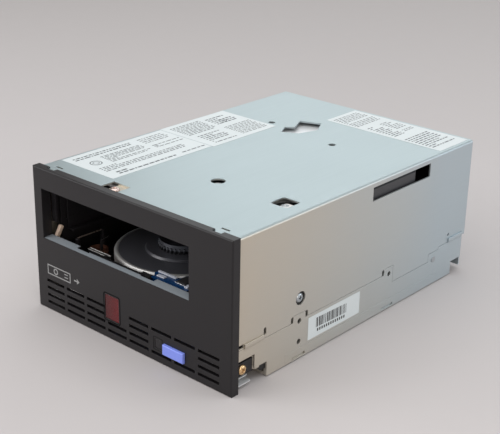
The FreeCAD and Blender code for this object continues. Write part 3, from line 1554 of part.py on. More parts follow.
def spindle():
    skirt = "rotor_radius - rotor_thick"
    turned(
        "spindle_rotor",
        "bay_mid",
        "spindle_y",
        [
            ("shaft_radius", PLATE),
            (skirt, PLATE),
            (skirt, "rotor_top - rotor_skirt"),
            ("rotor_radius", "rotor_top - rotor_skirt"),
            ("rotor_radius", "rotor_top - rim_slope"),
            ("rotor_radius - rim_slope / 3", "rotor_top - rim_slope / 3"),
            ("rotor_radius - rim_slope", "rotor_top + rim_rise"),
            ("rotor_radius - rim_width", "rotor_top + rim_rise"),
            ("rotor_radius - rim_width", "rotor_top"),
            ("clutch_base", "rotor_top"),
            ("clutch_base - clutch_slope", CLUTCH),
            ("shaft_radius", CLUTCH),
        ],
    )
    clutch = new_body("clutch_ring", "bay_mid", "spindle_y")
    drawing = sketch_on(clutch, "XY", CLUTCH)
    circle(drawing, "0", "0", "clutch_radius - clutch_tooth_depth + 0.3")
    circle(drawing, "0", "0", "cap_radius + axle_fit")
    pad(clutch, drawing, "clutch_rise")
    tooth = sketch_on(clutch, "XY", CLUTCH)
    polygon(
        tooth,
        [
            ("clutch_radius - clutch_tooth_depth", "-clutch_tooth_half"),
            ("clutch_radius", "-clutch_tooth_half / 2"),
            ("clutch_radius", "clutch_tooth_half / 2"),
            ("clutch_radius - clutch_tooth_depth", "clutch_tooth_half"),
        ],
    )
    first = pad(clutch, tooth, "clutch_tooth_rise")
    turned_round(clutch, [first], "clutch_teeth")
    turned(
        "spindle_cap",
        "bay_mid",
        "spindle_y",
        [
            ("0", f"{DECK_TOP} + 1"),
            ("shaft_radius", f"{DECK_TOP} + 1"),
            ("shaft_radius", CLUTCH),
            ("cap_radius", CLUTCH),
            ("cap_radius", f"{CLUTCH} + clutch_rise"),
            ("cap_radius - 1", f"{CLUTCH} + clutch_rise + cap_rise"),
            ("0", f"{CLUTCH} + clutch_rise + cap_rise"),
        ],
    )
    stator_top = f"{PLATE} - stator_gap"
    stator("spindle_stator", "bay_mid", "spindle_y", f"{skirt} - stator_gap", stator_top)


def stator(label, x, y, radius, top):
    """A wound stator on its bearing tube."""
    tube = "shaft_radius + axle_fit"
    core = f"{top} - stator_height + 1"
    turned(
        label,
        x,
        y,
        [
            (tube, "deck_low"),
            (f"{tube} + 3.8", "deck_low"),
            (f"{tube} + 3.8", core),
            (radius, core),
            (radius, top),
            (tube, top),
        ],
    )


REEL_IN = "reel_low + reel_flange"
REEL_OUT = "reel_low + reel_flange + reel_width"


def reel():
    """The take-up reel.  A channel lets the pin of the threading arm reach its middle."""
    channel = "(arm_pin + channel_fit)"
    for label, low, thick in (
        ("reel_lower_flange", "reel_low", "reel_flange"),
        ("reel_upper_flange", REEL_OUT, "reel_flange"),
    ):
        flange = new_body(label, "reel_x", "reel_y")
        disc = sketch_on(flange, "XY", low)
        circle(disc, "0", "0", "reel_radius")
        if label == "reel_lower_flange":
            circle(disc, "0", "0", "shaft_radius")
        pad(flange, disc, thick)
        if label == "reel_upper_flange":
            cut_channel(flange, low, thick, channel)
    hub = new_body("reel_hub", "reel_x", "reel_y")
    core = sketch_on(hub, "XY", REEL_IN)
    circle(core, "0", "0", "reel_hub")
    pad(hub, core, "reel_width")
    cut_channel(hub, "arm_pin_low - 1.5", f"{REEL_OUT} - arm_pin_low + 2", channel)
    rotor = "reel_low - seat_gap"
    turned(
        "reel_rotor",
        "reel_x",
        "reel_y",
        [
            ("0", f"{DECK_TOP} + 1"),
            ("shaft_radius", f"{DECK_TOP} + 1"),
            ("shaft_radius", f"{rotor} - rotor_thick"),
            ("reel_rotor_radius - rotor_thick", f"{rotor} - rotor_thick"),
            ("reel_rotor_radius - rotor_thick", f"{rotor} - reel_rotor_height"),
            ("reel_rotor_radius", f"{rotor} - reel_rotor_height"),
            ("reel_rotor_radius", rotor),
            ("shaft_radius", rotor),
            ("shaft_radius", REEL_IN),
            ("0", REEL_IN),
        ],
    )
    top = f"{rotor} - rotor_thick - stator_gap"
    stator("reel_stator", "reel_x", "reel_y", "reel_rotor_radius - rotor_thick - stator_gap", top)


def cut_channel(body, low, thick, half):
    """A curved channel from the rim to the middle, round the pivot of the threading arm."""
    sweep = sketch_on(body, "XY", f"{low} - 0.5")
    pivot_x = "guide_x - reel_x"
    pivot_y = "guide_y - reel_y"
    points = []
    turns = list(range(7))
    for reach, order in ((f"arm_length + {half}", turns), (f"arm_length - {half}", turns[::-1])):
        for turn in order:
            angle = f"({REEL_ANGLE} + channel_end - {turn} * channel_turn)"
            points.append(
                (f"{pivot_x} + ({reach}) * cos{angle}", f"{pivot_y} + ({reach}) * sin{angle}")
            )
    polygon(sweep, points)
    pocket(body, sweep, f"({thick}) + 1")


REEL_ANGLE = "atan2(reel_y - guide_y; reel_x - guide_x) / 1deg"


def tape_path():
    sides = (("outer_angle", -1), ("inner_angle", -1), ("inner_angle", 1), ("outer_angle", 1))
    posts = []
    for number, (angle, sign) in enumerate(sides, start=1):
        x = f"guide_x + guide_ring * cos({angle})"
        y = f"guide_y + {sign} * guide_ring * sin({angle})"
        bore = "roller_post + axle_fit"
        top = "roller_low + roller_height"
        turned(
            f"guide_roller_{number}",
            x,
            y,
            [
                (bore, "roller_low"),
                ("roller_flange", "roller_low"),
                ("roller_flange", "roller_low + 1"),
                ("roller_radius", "roller_low + 1"),
                ("roller_radius", f"{top} - 1"),
                ("roller_flange", f"{top} - 1"),
                ("roller_flange", top),
                (bore, top),
            ],
        )
        posts.append(post(x, y, DECK_TOP, f"{top} + 0.6", "roller_post"))
        posts.append(hex_post(x, y, DECK_TOP, "roller_low - axle_fit", "roller_post + 1.5"))
    node("Part::MultiFuse", "roller_posts", posts)


def head():
    """The head on its carriage, which steps up and down two rods."""
    body = new_body("head_carriage")
    block = sketch_on(body, "XY", "head_low - 3")
    rear = "head_x - head_depth"
    rectangle(block, "rod_x - 4", "guide_y - rod_spread - 3", rear, "guide_y + rod_spread + 3")
    for side in ("-", "+"):
        circle(block, "rod_x", f"guide_y {side} rod_spread", "rod_radius + axle_fit")
    pad(body, block, "head_height + 3")
    node(
        "Part::Compound",
        "tape_head",
        [
            box(
                f"{rear} + seat_gap",
                "guide_y - head_width / 2",
                "head_low",
                "head_x",
                "guide_y + head_width / 2",
                "head_low + head_height",
            )
        ],
    )
    rods = []
    for side in ("-", "+"):
        rods.append(
            post("rod_x", f"guide_y {side} rod_spread", DECK_TOP, "arm_low - 0.6", "rod_radius")
        )
    node("Part::Compound", "head_rods", rods)


def threading_arm():
    body = new_body("threading_arm", "guide_x", "guide_y")
    body.Placement.Rotation = FreeCAD.Rotation(FreeCAD.Vector(0, 0, 1), value("arm_rest"))
    flat = sketch_on(body, "XY", "arm_low")
    slot(flat, ("0", "0"), ("arm_length", "0"), "arm_half")
    pad(body, flat, "arm_thick")
    hole = sketch_on(body, "XY", "arm_low - 1")
    circle(hole, "0", "0", "pivot_radius + axle_fit")
    pocket(body, hole, "arm_thick + 2")
    pin = sketch_on(body, "XY", "arm_pin_low")
    circle(pin, "arm_length", "0", "arm_pin")
    pad(body, pin, "arm_low - arm_pin_low + 1")


# ---------------------------------------------------------------- small pieces
def entry_lever():
    """The sensor lever that a cartridge pushes aside as it comes in, leaning back and inwards."""
    body = new_body("entry_lever")
    front = "lever_y - lever_wide / 2"
    rear = "lever_y + lever_wide / 2"
    side = sketch_on(body, "YZ", "lever_left")
    polygon(
        side,
        [
            (front, "lever_low - 2"),
            (rear, "lever_low - 2"),
            (rear, "lever_low + 1"),
            (f"{rear} + lever_back", "lever_high - 1"),
            (f"{rear} + lever_back - 0.8", "lever_high"),
            (f"{front} + lever_back + 0.4", "lever_high"),
            (front, "lever_low + 2"),
        ],
    )
    pad(body, side, "lever_thick + lever_in")
    # what is left of that block leans inwards as well
    lean = sketch_on(body, "XZ", f"{front} - 1")
    polygon(
        lean,
        [
            ("lever_left - 1", "lever_low + 1"),
            ("lever_left", "lever_low + 1"),
            ("lever_left + lever_in", "lever_high + 1"),
            ("lever_left - 1", "lever_high + 1"),
        ],
    )
    right = "lever_left + lever_thick"
    polygon(
        lean,
        [
            (right, "lever_low - 3"),
            (f"{right} + lever_in + 1", "lever_low - 3"),
            (f"{right} + lever_in + 1", "lever_high - 1"),
            (f"{right} + lever_in", "lever_high - 1"),
            (right, "lever_low + 1"),
        ],
    )
    pocket(body, lean, "lever_wide + lever_back + 3")
    pin = sketch_on(body, "XZ", f"{rear} - 0.5")
    circle(pin, LEVER_X, LEVER_Z, "lever_pin")
    pad(body, pin, "lever_pin_length + 0.5")


LEVER_X = "lever_left + lever_thick / 2"
LEVER_Z = "lever_low - 1"


def lever_bracket():
    """A bent bracket on the deck with the ear that holds the lever's pin."""
    body = new_body("lever_bracket")
    side = sketch_on(body, "YZ", "lever_left - 0.3")
    ear = "lever_y + lever_wide / 2 + 0.1"
    shelf = "lever_low - lever_shelf"
    polygon(
        side,
        [
            (ear, shelf),
            ("deck_front", shelf),
            ("deck_front", DECK_TOP),
            ("deck_front + 3", DECK_TOP),
            ("deck_front + 3", f"{shelf} + lever_ear"),
            (f"{ear} + lever_ear", f"{shelf} + lever_ear"),
            (f"{ear} + lever_ear", "lever_low + 0.5"),
            (ear, "lever_low + 0.5"),
        ],
    )
    pad(body, side, "lever_bracket_width")
    drilled = sketch_on(body, "XZ", f"{ear} - 1")
    circle(drilled, LEVER_X, LEVER_Z, "lever_pin + axle_fit")
    pocket(body, drilled, "lever_ear + 2")


def sensor_card():
    right = "card_left + card_width"
    rear = "card_front + card_depth"
    top = "card_low + board_thick"
    slab(
        "sensor_card",
        "XY",
        "card_low",
        "board_thick",
        [("card_left", "card_front"), (right, "card_front"), (right, rear), ("card_left", rear)],
    )
    blocks = []
    for offset, width in (("2", "5"), ("9", "4"), ("15", "6"), ("23", "5")):
        left = f"card_left + {offset}"
        blocks.append(
            box(
                left,
                "card_front + 1",
                f"{top} + seat_gap",
                f"{left} + {width}",
                "card_front + 4",
                f"{top} + 2.6",
            )
        )
    node("Part::Compound", "card_connectors", blocks)


def window_duct():
    """The dark duct behind the window in the right side, its rear end rounded."""
    body = new_body("window_duct")
    outer = f"{WALL} - sheet - duct_gap"
    inner = f"{outer} - duct_width"
    top = f"{ROOF} - duct_drop"
    low = f"{top} - duct_height"
    section = sketch_on(body, "XZ", "duct_front")
    polygon(
        section,
        [
            (inner, low),
            (outer, low),
            (outer, f"{top} - duct_slope"),
            (f"{outer} - duct_slope", top),
            (inner, top),
        ],
    )
    pad(body, section, "duct_length")
    rounded(body, "duct_round", duct_corner)


def duct_corner(edge):
    """The upright edge at the rear of the duct's outer face."""
    box_of = edge.BoundBox
    rear = value("duct_front + duct_length")
    outer = value(f"{WALL} - sheet - duct_gap")
    at_rear = abs(box_of.YMin - rear) < 0.01
    return at_rear and box_of.ZLength > value("duct_height") / 2 and box_of.XMax > outer - 0.01


def side_bracket():
    """The bracket on the deck behind the screw hole in the right side."""
    body = new_body("side_bracket")
    face = f"{WALL} - sheet - bracket_gap"
    angle = sketch_on(body, "XZ", "side_hole_y - 5")
    polygon(
        angle,
        [
            (f"{face} - 8", DECK_TOP),
            (face, DECK_TOP),
            (face, "side_hole_z + 4"),
            (f"{face} - rail_wall", "side_hole_z + 4"),
            (f"{face} - rail_wall", f"{DECK_TOP} + rail_wall"),
            (f"{face} - 8", f"{DECK_TOP} + rail_wall"),
        ],
    )
    pad(body, angle, "10")
    hole = sketch_on(body, "YZ", f"{face} - 2 * rail_wall")
    circle(hole, "side_hole_y", "side_hole_z", "screw_radius + under_gap")
    pocket(body, hole, "3 * rail_wall")


def latch():
    """The solenoid and spring of the cartridge latch, left of the spindle."""
    coil = post("coil_x", "coil_y", DECK_TOP, f"{DECK_TOP} + coil_height", "coil_radius")
    node("Part::Compound", "latch_solenoid", [coil])


def screws():
    face = f"{WALL} - sheet"
    outer = f"{WALL} - sheet - bracket_gap"
    node(
        "Part::Compound",
        "bezel_screws",
        [
            screw("top_screw_x", "top_screw_y", f"{ROOF} - notch_drop", (1, 0, 0), 180),
            screw(face, "side_screw_y", "side_screw_z", (0, 1, 0), -90),
            screw(f"-({face})", "side_screw_y", "side_screw_z", (0, 1, 0), 90),
        ],
    )
    node(
        "Part::Compound",
        "frame_screws",
        [
            screw("square_hole_x", "square_hole_y", UPPER_TOP, (1, 0, 0), 180),
            screw(outer, "side_hole_y", "side_hole_z", (0, 1, 0), -90),
        ],
    )


def rivets():
    """The rivets that hold the cover to the rear tabs of the base."""
    row = []
    for face, angle in ((WALL, 90), (f"-{WALL}", -90)):
        head = post("0", "0", "0", "rivet_rise", "rivet_radius")
        head.Placement.Rotation = FreeCAD.Rotation(FreeCAD.Vector(0, 1, 0), angle)
        place(head, face, "rivet_y", "rivet_z")
        row.append(head)
    node("Part::Compound", "rivets", row)


REAR_LABEL_Y = "case_depth - rear_label_inset - rear_label_length"


def label_on_top(left, front, width, length):
    low = f"{ROOF} + label_gap"
    return box(left, front, low, f"{left} + {width}", f"{front} + {length}", f"{low} + label_thick")


def labels():
    side = f"{WALL} + label_gap"
    node(
        "Part::Compound",
        "labels",
        [
            label_on_top("front_label_x", "front_label_y", "front_label_width", "front_label_length"),
            label_on_top("mid_label_x", "mid_label_y", "mid_label_width", "mid_label_length"),
            label_on_top("rear_label_x", REAR_LABEL_Y, "rear_label_width", "rear_label_length"),
            box(
                side,
                "side_label_y",
                "side_label_z",
                f"{side} + label_thick",
                "side_label_y + side_label_length",
                "side_label_z + side_label_height",
            ),
        ],
    )


# ---------------------------------------------------------------- main board and rear sockets
def main_board():
    half = BOARD_HALF
    rear = BOARD_REAR
    slab(
        "main_board",
        "XY",
        "main_board_low",
        "board_thick",
        [
            (f"-{half}", "main_board_front"),
            (half, "main_board_front"),
            (half, rear),
            (f"-{half}", rear),
        ],
    )
    chips = []
    for x, y, across, along, high in (
        ("-30", "60", "20", "20", "1.6"),
        ("10", "60", "24", "24", "2"),
        ("-20", "110", "28", "28", "2.4"),
        ("25", "110", "14", "20", "1.6"),
        ("30", "150", "10", "16", "6"),
        ("-40", "150", "16", "10", "1.4"),
    ):
        chips.append(
            box(x, y, f"{BOARD_TOP} + 0.02", f"{x} + {across}", f"{y} + {along}", f"{BOARD_TOP} + {high}")
        )
    node("Part::Compound", "board_chips", chips)


def rear_socket(label, middle, low, width, height):
    """A shell that is open to the rear, flush with the rear panel."""
    end = "case_depth - rear_inset"
    left = f"{middle} - {width} / 2"
    right = f"{middle} + {width} / 2"
    low = f"{low} + 0.02"
    top = f"{low} + {height} - 0.02"
    shell = box(left, f"{end} - socket_depth", low, right, end, top)
    hollow = box(
        f"{left} + socket_wall",
        f"{end} - socket_depth + socket_wall",
        f"{low} + socket_wall",
        f"{right} - socket_wall",
        f"{end} + 1",
        f"{top} - socket_wall",
    )
    node("Part::Compound", label, [cut(shell, hollow)])


# ---------------------------------------------------------------- build
def build():
    base_frame()
    top_cover()
    bottom_cover()
    rear_panel()
    bezel()
    lens("display_window", "display_left", "display_low", "display_width", "display_height")
    lens("status_lens", "lens_left", "lens_low", "lens_width", "lens_height")
    unload_button()
    button_switch()
    front_electronics()
    deck()
    floor_posts()
    upper_frame()
    standoffs()
    rail("rail_left", -1)
    rail("rail_right", 1)
    loader()
    tray()
    loader_gears()
    loader_motor()
    spindle()
    reel()
    tape_path()
    head()
    threading_arm()
    entry_lever()
    lever_bracket()
    sensor_card()
    window_duct()
    side_bracket()
    latch()
    screws()
    rivets()
    labels()
    main_board()
    rear_socket("power_socket", *POWER)
    rear_socket("data_socket", *DATA)
    rear_socket("library_port", *LIBRARY)
    doc.recompute()


def check_and_write():
    """Refuse a failed feature, a pocket that cuts nothing or a bad shape; then write the parts."""
    for item in doc.Objects:
        if "Invalid" in item.State or "Error" in item.State:
            raise RuntimeError(f"{item.Label} failed: {item.State} {item.getStatusString()}")
        if item.TypeId == "PartDesign::Pocket":
            if item.Shape.Volume > item.BaseFeature.Shape.Volume - 0.001:
                raise RuntimeError(f"{item.Label} cuts nothing")
    os.makedirs("parts", exist_ok=True)
    for piece in NODES:
        shape = piece.Shape
        if shape.isNull() or not shape.isValid():
            raise RuntimeError(f"{piece.Label} has no valid shape")
        shape.exportStep(os.path.join("parts", piece.Label + ".step"))
    print(len(NODES), "sub-parts written")


build()
check_and_write()
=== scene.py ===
# %% [markdown]
# # A tape drive, dressed in Blender
#
# This lesson dresses the CAD model of a data tape drive: a sheet metal
# case with a black plastic front, and a reel mechanism behind the
# cartridge slot. The CAD parts keep their places and shapes. We give each
# of them a finish made of shader nodes, and add the small things that a
# plain solid leaves out. Blender works in metres, so lengths here are
# written in millimetres and multiplied by MM.

# %% Load the drive and note its size
import math
import random

import bmesh
import bpy
from mathutils import Matrix, Vector


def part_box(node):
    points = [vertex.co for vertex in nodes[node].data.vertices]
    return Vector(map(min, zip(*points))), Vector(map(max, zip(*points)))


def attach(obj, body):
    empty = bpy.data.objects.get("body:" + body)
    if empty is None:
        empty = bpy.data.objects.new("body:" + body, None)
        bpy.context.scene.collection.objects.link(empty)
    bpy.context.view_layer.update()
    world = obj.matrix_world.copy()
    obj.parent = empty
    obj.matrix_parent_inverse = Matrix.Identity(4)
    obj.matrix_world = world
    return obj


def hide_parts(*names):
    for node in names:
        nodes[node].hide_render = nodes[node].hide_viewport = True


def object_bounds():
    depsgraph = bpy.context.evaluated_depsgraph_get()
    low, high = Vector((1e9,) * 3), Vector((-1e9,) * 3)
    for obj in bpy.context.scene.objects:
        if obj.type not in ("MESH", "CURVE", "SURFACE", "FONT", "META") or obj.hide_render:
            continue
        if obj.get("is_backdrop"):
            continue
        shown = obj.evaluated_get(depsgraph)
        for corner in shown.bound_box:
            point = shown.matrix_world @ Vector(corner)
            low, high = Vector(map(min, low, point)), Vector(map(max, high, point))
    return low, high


MM = 0.001
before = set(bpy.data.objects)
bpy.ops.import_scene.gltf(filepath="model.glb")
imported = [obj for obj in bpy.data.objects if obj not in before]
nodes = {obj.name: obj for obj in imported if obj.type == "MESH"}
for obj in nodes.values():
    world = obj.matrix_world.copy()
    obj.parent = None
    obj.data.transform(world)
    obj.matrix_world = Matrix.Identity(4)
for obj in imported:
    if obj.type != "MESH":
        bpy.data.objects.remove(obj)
cad_low, cad_high = (list(corner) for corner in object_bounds())
print("the drive spans", [round(b - a, 4) for a, b in zip(cad_low, cad_high)])

# %% [markdown]
# ## The view
#
# A longish lens keeps the edges of a long box nearly parallel. The camera
# stands in front, to the right and above, so that the front, the side and
# the lid all show. We put it at a point and build its axes from three
# angles: how far round it stands, how far up, and how much it leans.

# %% Stand the camera
LENS = 81.8
SENSOR = 36.0
CAMERA_AT = Vector((0.3974, -0.46055, 0.29365))
AROUND = math.radians(41.36)
ABOVE = math.radians(22.31)
LEAN = math.radians(1.16)


def camera_axes():
    """The camera's right, up and backward directions."""
    back = Vector((
        math.sin(AROUND) * math.cos(ABOVE),
        -math.cos(AROUND) * math.cos(ABOVE),
        math.sin(ABOVE),
    ))
    right = Vector((math.cos(AROUND), math.sin(AROUND), 0))
    up = back.cross(right)
    tilted = right * math.cos(LEAN) + up * math.sin(LEAN)
    raised = up * math.cos(LEAN) - right * math.sin(LEAN)
    return tilted, raised, back


lens = bpy.data.cameras.new("camera")
lens.lens = LENS
lens.sensor_width = SENSOR
camera = bpy.data.objects.new("camera", lens)
bpy.context.scene.collection.objects.link(camera)
right, up, back = camera_axes()
turn = Matrix((right, up, back)).transposed()
camera.matrix_world = Matrix.Translation(CAMERA_AT) @ turn.to_4x4()
bpy.context.scene.camera = camera
print("the camera stands", round(CAMERA_AT.length, 3), "m away")

# %% [markdown]
# ## Shader helpers
#
# Every finish starts from one Principled shader. A class holds the shader
# with a few small helpers that keep the node trees short: one adds a node
# and links its inputs, one makes noise in the drive's own coordinates, and
# one maps a value to a range.

# %% Helpers that build node trees
class Finish:
    """A material and the Principled shader that it ends in."""

    def __init__(self, name, colour, roughness, metallic=0.0, **sockets):
        self.material = bpy.data.materials.new(name)
        self.material.use_nodes = True
        self.tree = self.material.node_tree
        self.shader = self.tree.nodes["Principled BSDF"]
        self.set("Base Color", (*colour, 1))
        self.set("Roughness", roughness)
        self.set("Metallic", metallic)
        for socket, value in sockets.items():
            self.set(socket.replace("_", " "), value)
        self.place = self.add("ShaderNodeTexCoord").outputs["Object"]

    def set(self, socket, value):
        """Puts a value or a link on one of the shader's sockets."""
        join(self.tree, value, self.shader.inputs[socket])

    def add(self, kind, inputs=(), **settings):
        """A node with its settings made and its inputs joined."""
        made = self.tree.nodes.new(kind)
        for key, value in settings.items():
            setattr(made, key, value)
        for key, value in dict(inputs).items():
            join(self.tree, value, made.inputs[key])
        return made

    def math(self, operation, first, second=0.0):
        """One sum with two numbers."""
        made = self.add("ShaderNodeMath", {0: first, 1: second}, operation=operation)
        return made.outputs[0]

    def along(self, axis):
        """The place along one axis, in metres."""
        return self.add("ShaderNodeSeparateXYZ", {0: self.place}).outputs[axis]

    def noise(self, scale, stretch=(1, 1, 1), detail=2.0, rough=0.5):
        """Noise from 0 to 1, with stretch as how dense it is each way."""
        moved = self.add(
            "ShaderNodeMapping", {"Vector": self.place, "Scale": stretch}
        ).outputs["Vector"]
        inputs = {"Vector": moved, "Scale": scale, "Detail": detail, "Roughness": rough}
        return self.add("ShaderNodeTexNoise", inputs).outputs["Fac"]

    def between(self, value, low, high, start=0.0, end=1.0):
        """value mapped from start..end to low..high."""
        inputs = {
            "Value": value,
            "From Min": start,
            "From Max": end,
            "To Min": low,
            "To Max": high,
        }
        return self.add("ShaderNodeMapRange", inputs).outputs["Result"]

    def mix(self, factor, first, second):
        """Two colours mixed by a factor."""
        made = self.add("ShaderNodeMix", data_type="RGBA")
        join(self.tree, factor, made.inputs[0])
        join(self.tree, first, made.inputs[6])
        join(self.tree, second, made.inputs[7])
        return made.outputs[2]

    def shades(self, value, colour, spread):
        """The colour a little darker and lighter as a value goes from 0 to 1."""
        dark = tuple(level * (1 - spread) for level in colour)
        pale = tuple(min(1, level * (1 + spread)) for level in colour)
        return self.mix(value, dark, pale)

    def bump(self, height, distance, strength=1.0, normal=None):
        """Bump on the shader's normal; distance is in metres."""
        inputs = {"Height": height, "Distance": distance, "Strength": strength}
        if normal is not None:
            inputs["Normal"] = normal
        made = self.add("ShaderNodeBump", inputs)
        self.set("Normal", made.outputs["Normal"])

    def soft_edge(self, radius):
        """A normal that rounds edges off, for sheared sheet and mouldings."""
        return self.add("ShaderNodeBevel", {"Radius": radius}, samples=6).outputs["Normal"]


print("a finish can", [name for name in vars(Finish) if not name.startswith("_")])

# %% [markdown]
# ## Links, colours and dressing
#
# A socket takes either a link or a plain value, so one function decides.
# Colours are easiest to judge on the 0 to 255 scale of a screen, while a
# shader wants linear light, so another converts them. The third puts a
# finish on the slots of CAD nodes that are already in the scene.

# %% Join, tint and dress
def join(tree, value, socket):
    """Links a socket to another, or gives it a plain value."""
    if isinstance(value, bpy.types.NodeSocket):
        tree.links.new(value, socket)
    elif socket.type == "RGBA" and len(value) == 3:
        socket.default_value = (*value, 1)
    else:
        socket.default_value = value


def tint(red, green, blue):
    """A colour given as it looks on a screen, 0 to 255, made linear."""
    def linear(level):
        level = level / 255
        return level / 12.92 if level < 0.04045 else ((level + 0.055) / 1.055) ** 2.4
    return linear(red), linear(green), linear(blue)


def dress(finish, *names):
    """Gives a finish to CAD nodes."""
    for name in names:
        slots = nodes[name].material_slots
        if not slots:
            nodes[name].data.materials.append(finish.material)
        for slot in slots:
            slot.material = finish.material
    print(finish.material.name, "on", len(names), "nodes")


print("middle grey in linear light:", round(tint(128, 128, 128)[0], 3))

# %% [markdown]
# ## Mesh helpers
#
# The added pieces are made in mesh code. Each one collects its faces in a
# bmesh and is then turned into an object. All of them sit on the case, so
# they ride on its body, the chassis. Other bodies move under them.

# %% Turn a mesh into a piece
def piece(name, shape, finish, smooth=False):
    """Turns a bmesh into an object that rides on the case."""
    for face in shape.faces:
        face.smooth = smooth
    mesh = bpy.data.meshes.new(name)
    bmesh.ops.recalc_face_normals(shape, faces=shape.faces)
    shape.to_mesh(mesh)
    shape.free()
    made = bpy.data.objects.new(name, mesh)
    bpy.context.scene.collection.objects.link(made)
    mesh.materials.append(finish.material)
    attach(made, "chassis")
    return made


print("pieces start with", len(nodes), "CAD nodes in the scene")

# %% [markdown]
# ## Blocks and prisms
#
# Two plain forms make most of the small parts: a block between two corners
# with its edges bevelled, because no real edge is sharp, and an outline that
# is pushed out along one axis, for whatever is cut from sheet.

# %% Blocks and prisms
def block(shape, low, high, bevel=0.0):
    """Adds a block between two corners in millimetres, its edges bevelled."""
    low, high = Vector(low) * MM, Vector(high) * MM
    corners = bmesh.ops.create_cube(shape, size=1)["verts"]
    for corner in corners:
        for axis in range(3):
            middle = (low[axis] + high[axis]) / 2
            corner.co[axis] = middle + corner.co[axis] * (high[axis] - low[axis])
    if bevel:
        edges = {edge for corner in corners for edge in corner.link_edges}
        bmesh.ops.bevel(
            shape, geom=list(edges), offset=bevel * MM, segments=2, affect="EDGES"
        )


def prism(shape, outline, start, end, axis):
    """Adds an outline drawn in two axes and pushed out along the third, in millimetres."""
    others = [other for other in range(3) if other != axis]
    rings = []
    for reach in (start, end):
        ring = []
        for pair in outline:
            point = Vector((0, 0, 0))
            point[axis] = reach
            point[others[0]], point[others[1]] = pair
            ring.append(shape.verts.new(point * MM))
        shape.faces.new(ring)
        rings.append(ring)
    for index in range(len(outline)):
        after = (index + 1) % len(outline)
        shape.faces.new((
            rings[0][index], rings[0][after], rings[1][after], rings[1][index],
        ))


trial = bmesh.new()
block(trial, (0, 0, 0), (1, 1, 1), 0.1)
print("a bevelled block has", len(trial.faces), "faces")
trial.free()

# %% [markdown]
# ## Lathed forms
#
# Round parts are described as on a lathe, by pairs of radius and height.
# Each pair becomes a ring of corners, neighbouring rings are joined by
# faces, and a pair of radius 0 closes the form in one point.

# %% Lathe a profile
def turned(shape, profile, at, axis="z", steps=48):
    """Adds a lathed form along z or y; the profile is pairs of radius and height in millimetres."""
    spin = Matrix.Rotation(math.pi / 2, 3, "X") if axis == "y" else Matrix.Identity(3)
    rings = []
    for radius, height in profile:
        ring = []
        for step in range(steps if radius > 0 else 1):
            angle = 2 * math.pi * step / steps
            point = Vector((radius * math.cos(angle), radius * math.sin(angle), height))
            ring.append(shape.verts.new((spin @ point + Vector(at)) * MM))
        rings.append(ring)
    for low, high in zip(rings, rings[1:]):
        for step in range(steps):
            after = (step + 1) % steps
            corners = (low[step % len(low)], low[after % len(low)],
                       high[after % len(high)], high[step % len(high)])
            face = list(dict.fromkeys(corners))
            if len(face) > 2:
                shape.faces.new(face)
    for ring in (rings[0], rings[-1]):
        if len(ring) > 1:
            shape.faces.new(ring)


trial = bmesh.new()
turned(trial, [(1, 0), (0, 1)], (0, 0, 0))
print("a cone has", len(trial.faces), "faces")
trial.free()

# %% [markdown]
# ## Where the CAD nodes are
#
# Added pieces take their places from the CAD nodes that they sit on, so
# that they stay on them. Three short functions give a node's corners and
# its middle in millimetres.

# %% Corners of the CAD nodes
def low_of(name):
    """The lowest corner of a CAD node, in millimetres."""
    return Vector(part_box(name)[0]) / MM


def high_of(name):
    """The highest corner of a CAD node, in millimetres."""
    return Vector(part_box(name)[1]) / MM


def middle_of(name):
    """The middle of a CAD node, in millimetres."""
    return (low_of(name) + high_of(name)) / 2


print("the front reaches down to", [round(level, 2) for level in low_of("bezel")])

# %% [markdown]
# ## Sheet metal
#
# The case is pressed from zinc coated sheet. It has no coat of paint: it is a dull metal that takes
# the colour of what stands round it. Rolling leaves fine streaks along the sheet, so the roughness
# varies slowly along and quickly across one direction. The walls are coloured from a straw tone at the
# front to a cooler one at the rear, a painted reflection of the warm light in front and the cool light
# behind. The top face gets a darker, bluer tint as painted shade.

# %% The zinc coated sheet of the case
WARM_REFLECTION_TINT = tint(206, 195, 178)
COOL_REFLECTION_TINT = tint(192, 204, 210)
TOP_FACE_SHADE = tint(180, 194, 197)


def zinc_sheet(name, roughness, streak):
    """Rolled zinc coated steel: streaks, cloudy tint and softened sheared edges."""
    made = Finish(name, COOL_REFLECTION_TINT, roughness, 0.72)
    lines = made.noise(1100, streak, 3)
    cloud = made.noise(16, detail=4, rough=0.6)
    # Painted reflection: the walls go from a warm tone at the front to a cool one at the rear.
    front, rear = cad_low[1], cad_high[1]
    drift = made.between(made.along("Y"), 0, 1, front, rear * 0.75)
    drift = made.math("ADD", drift, made.between(cloud, -0.12, 0.12))
    wall_reflection_tone = made.mix(drift, WARM_REFLECTION_TINT, COOL_REFLECTION_TINT)
    # Painted shade: the top face gets a darker, bluer tint than the walls.
    height = made.along("Z")
    top = made.between(height, 0, 1, cad_high[2] - 0.0018, cad_high[2] - 0.0009)
    colour = made.mix(top, wall_reflection_tone, TOP_FACE_SHADE)
    mottled = made.mix(made.between(cloud, 0.0, 0.09), colour, (0.3, 0.33, 0.35))
    made.set("Base Color", mottled)
    made.set("Roughness", made.between(lines, roughness - 0.03, roughness + 0.03, 0.3, 0.7))
    made.bump(lines, 0.0000025, 0.5, made.soft_edge(0.00025))
    return made


case_sheet = zinc_sheet("case_sheet", 0.4, (1, 0.02, 1))
dress(case_sheet, "top_cover", "base_frame", "bottom_cover")
rear_sheet = zinc_sheet("rear_sheet", 0.45, (0.02, 1, 1))
dress(rear_sheet, "rear_panel")

# %% [markdown]
# ## Metals inside
#
# Inside there are bare and treated metals: bright zinc on the upper
# frame, dark phosphated guide rails and cams that don't throw light about
# the slot, cast aluminium for the deck, and turned or plated steel for
# posts and shafts. One function makes them all. Its grain can be stretched
# into brushing in one direction, and the tint has a cloud of wear.

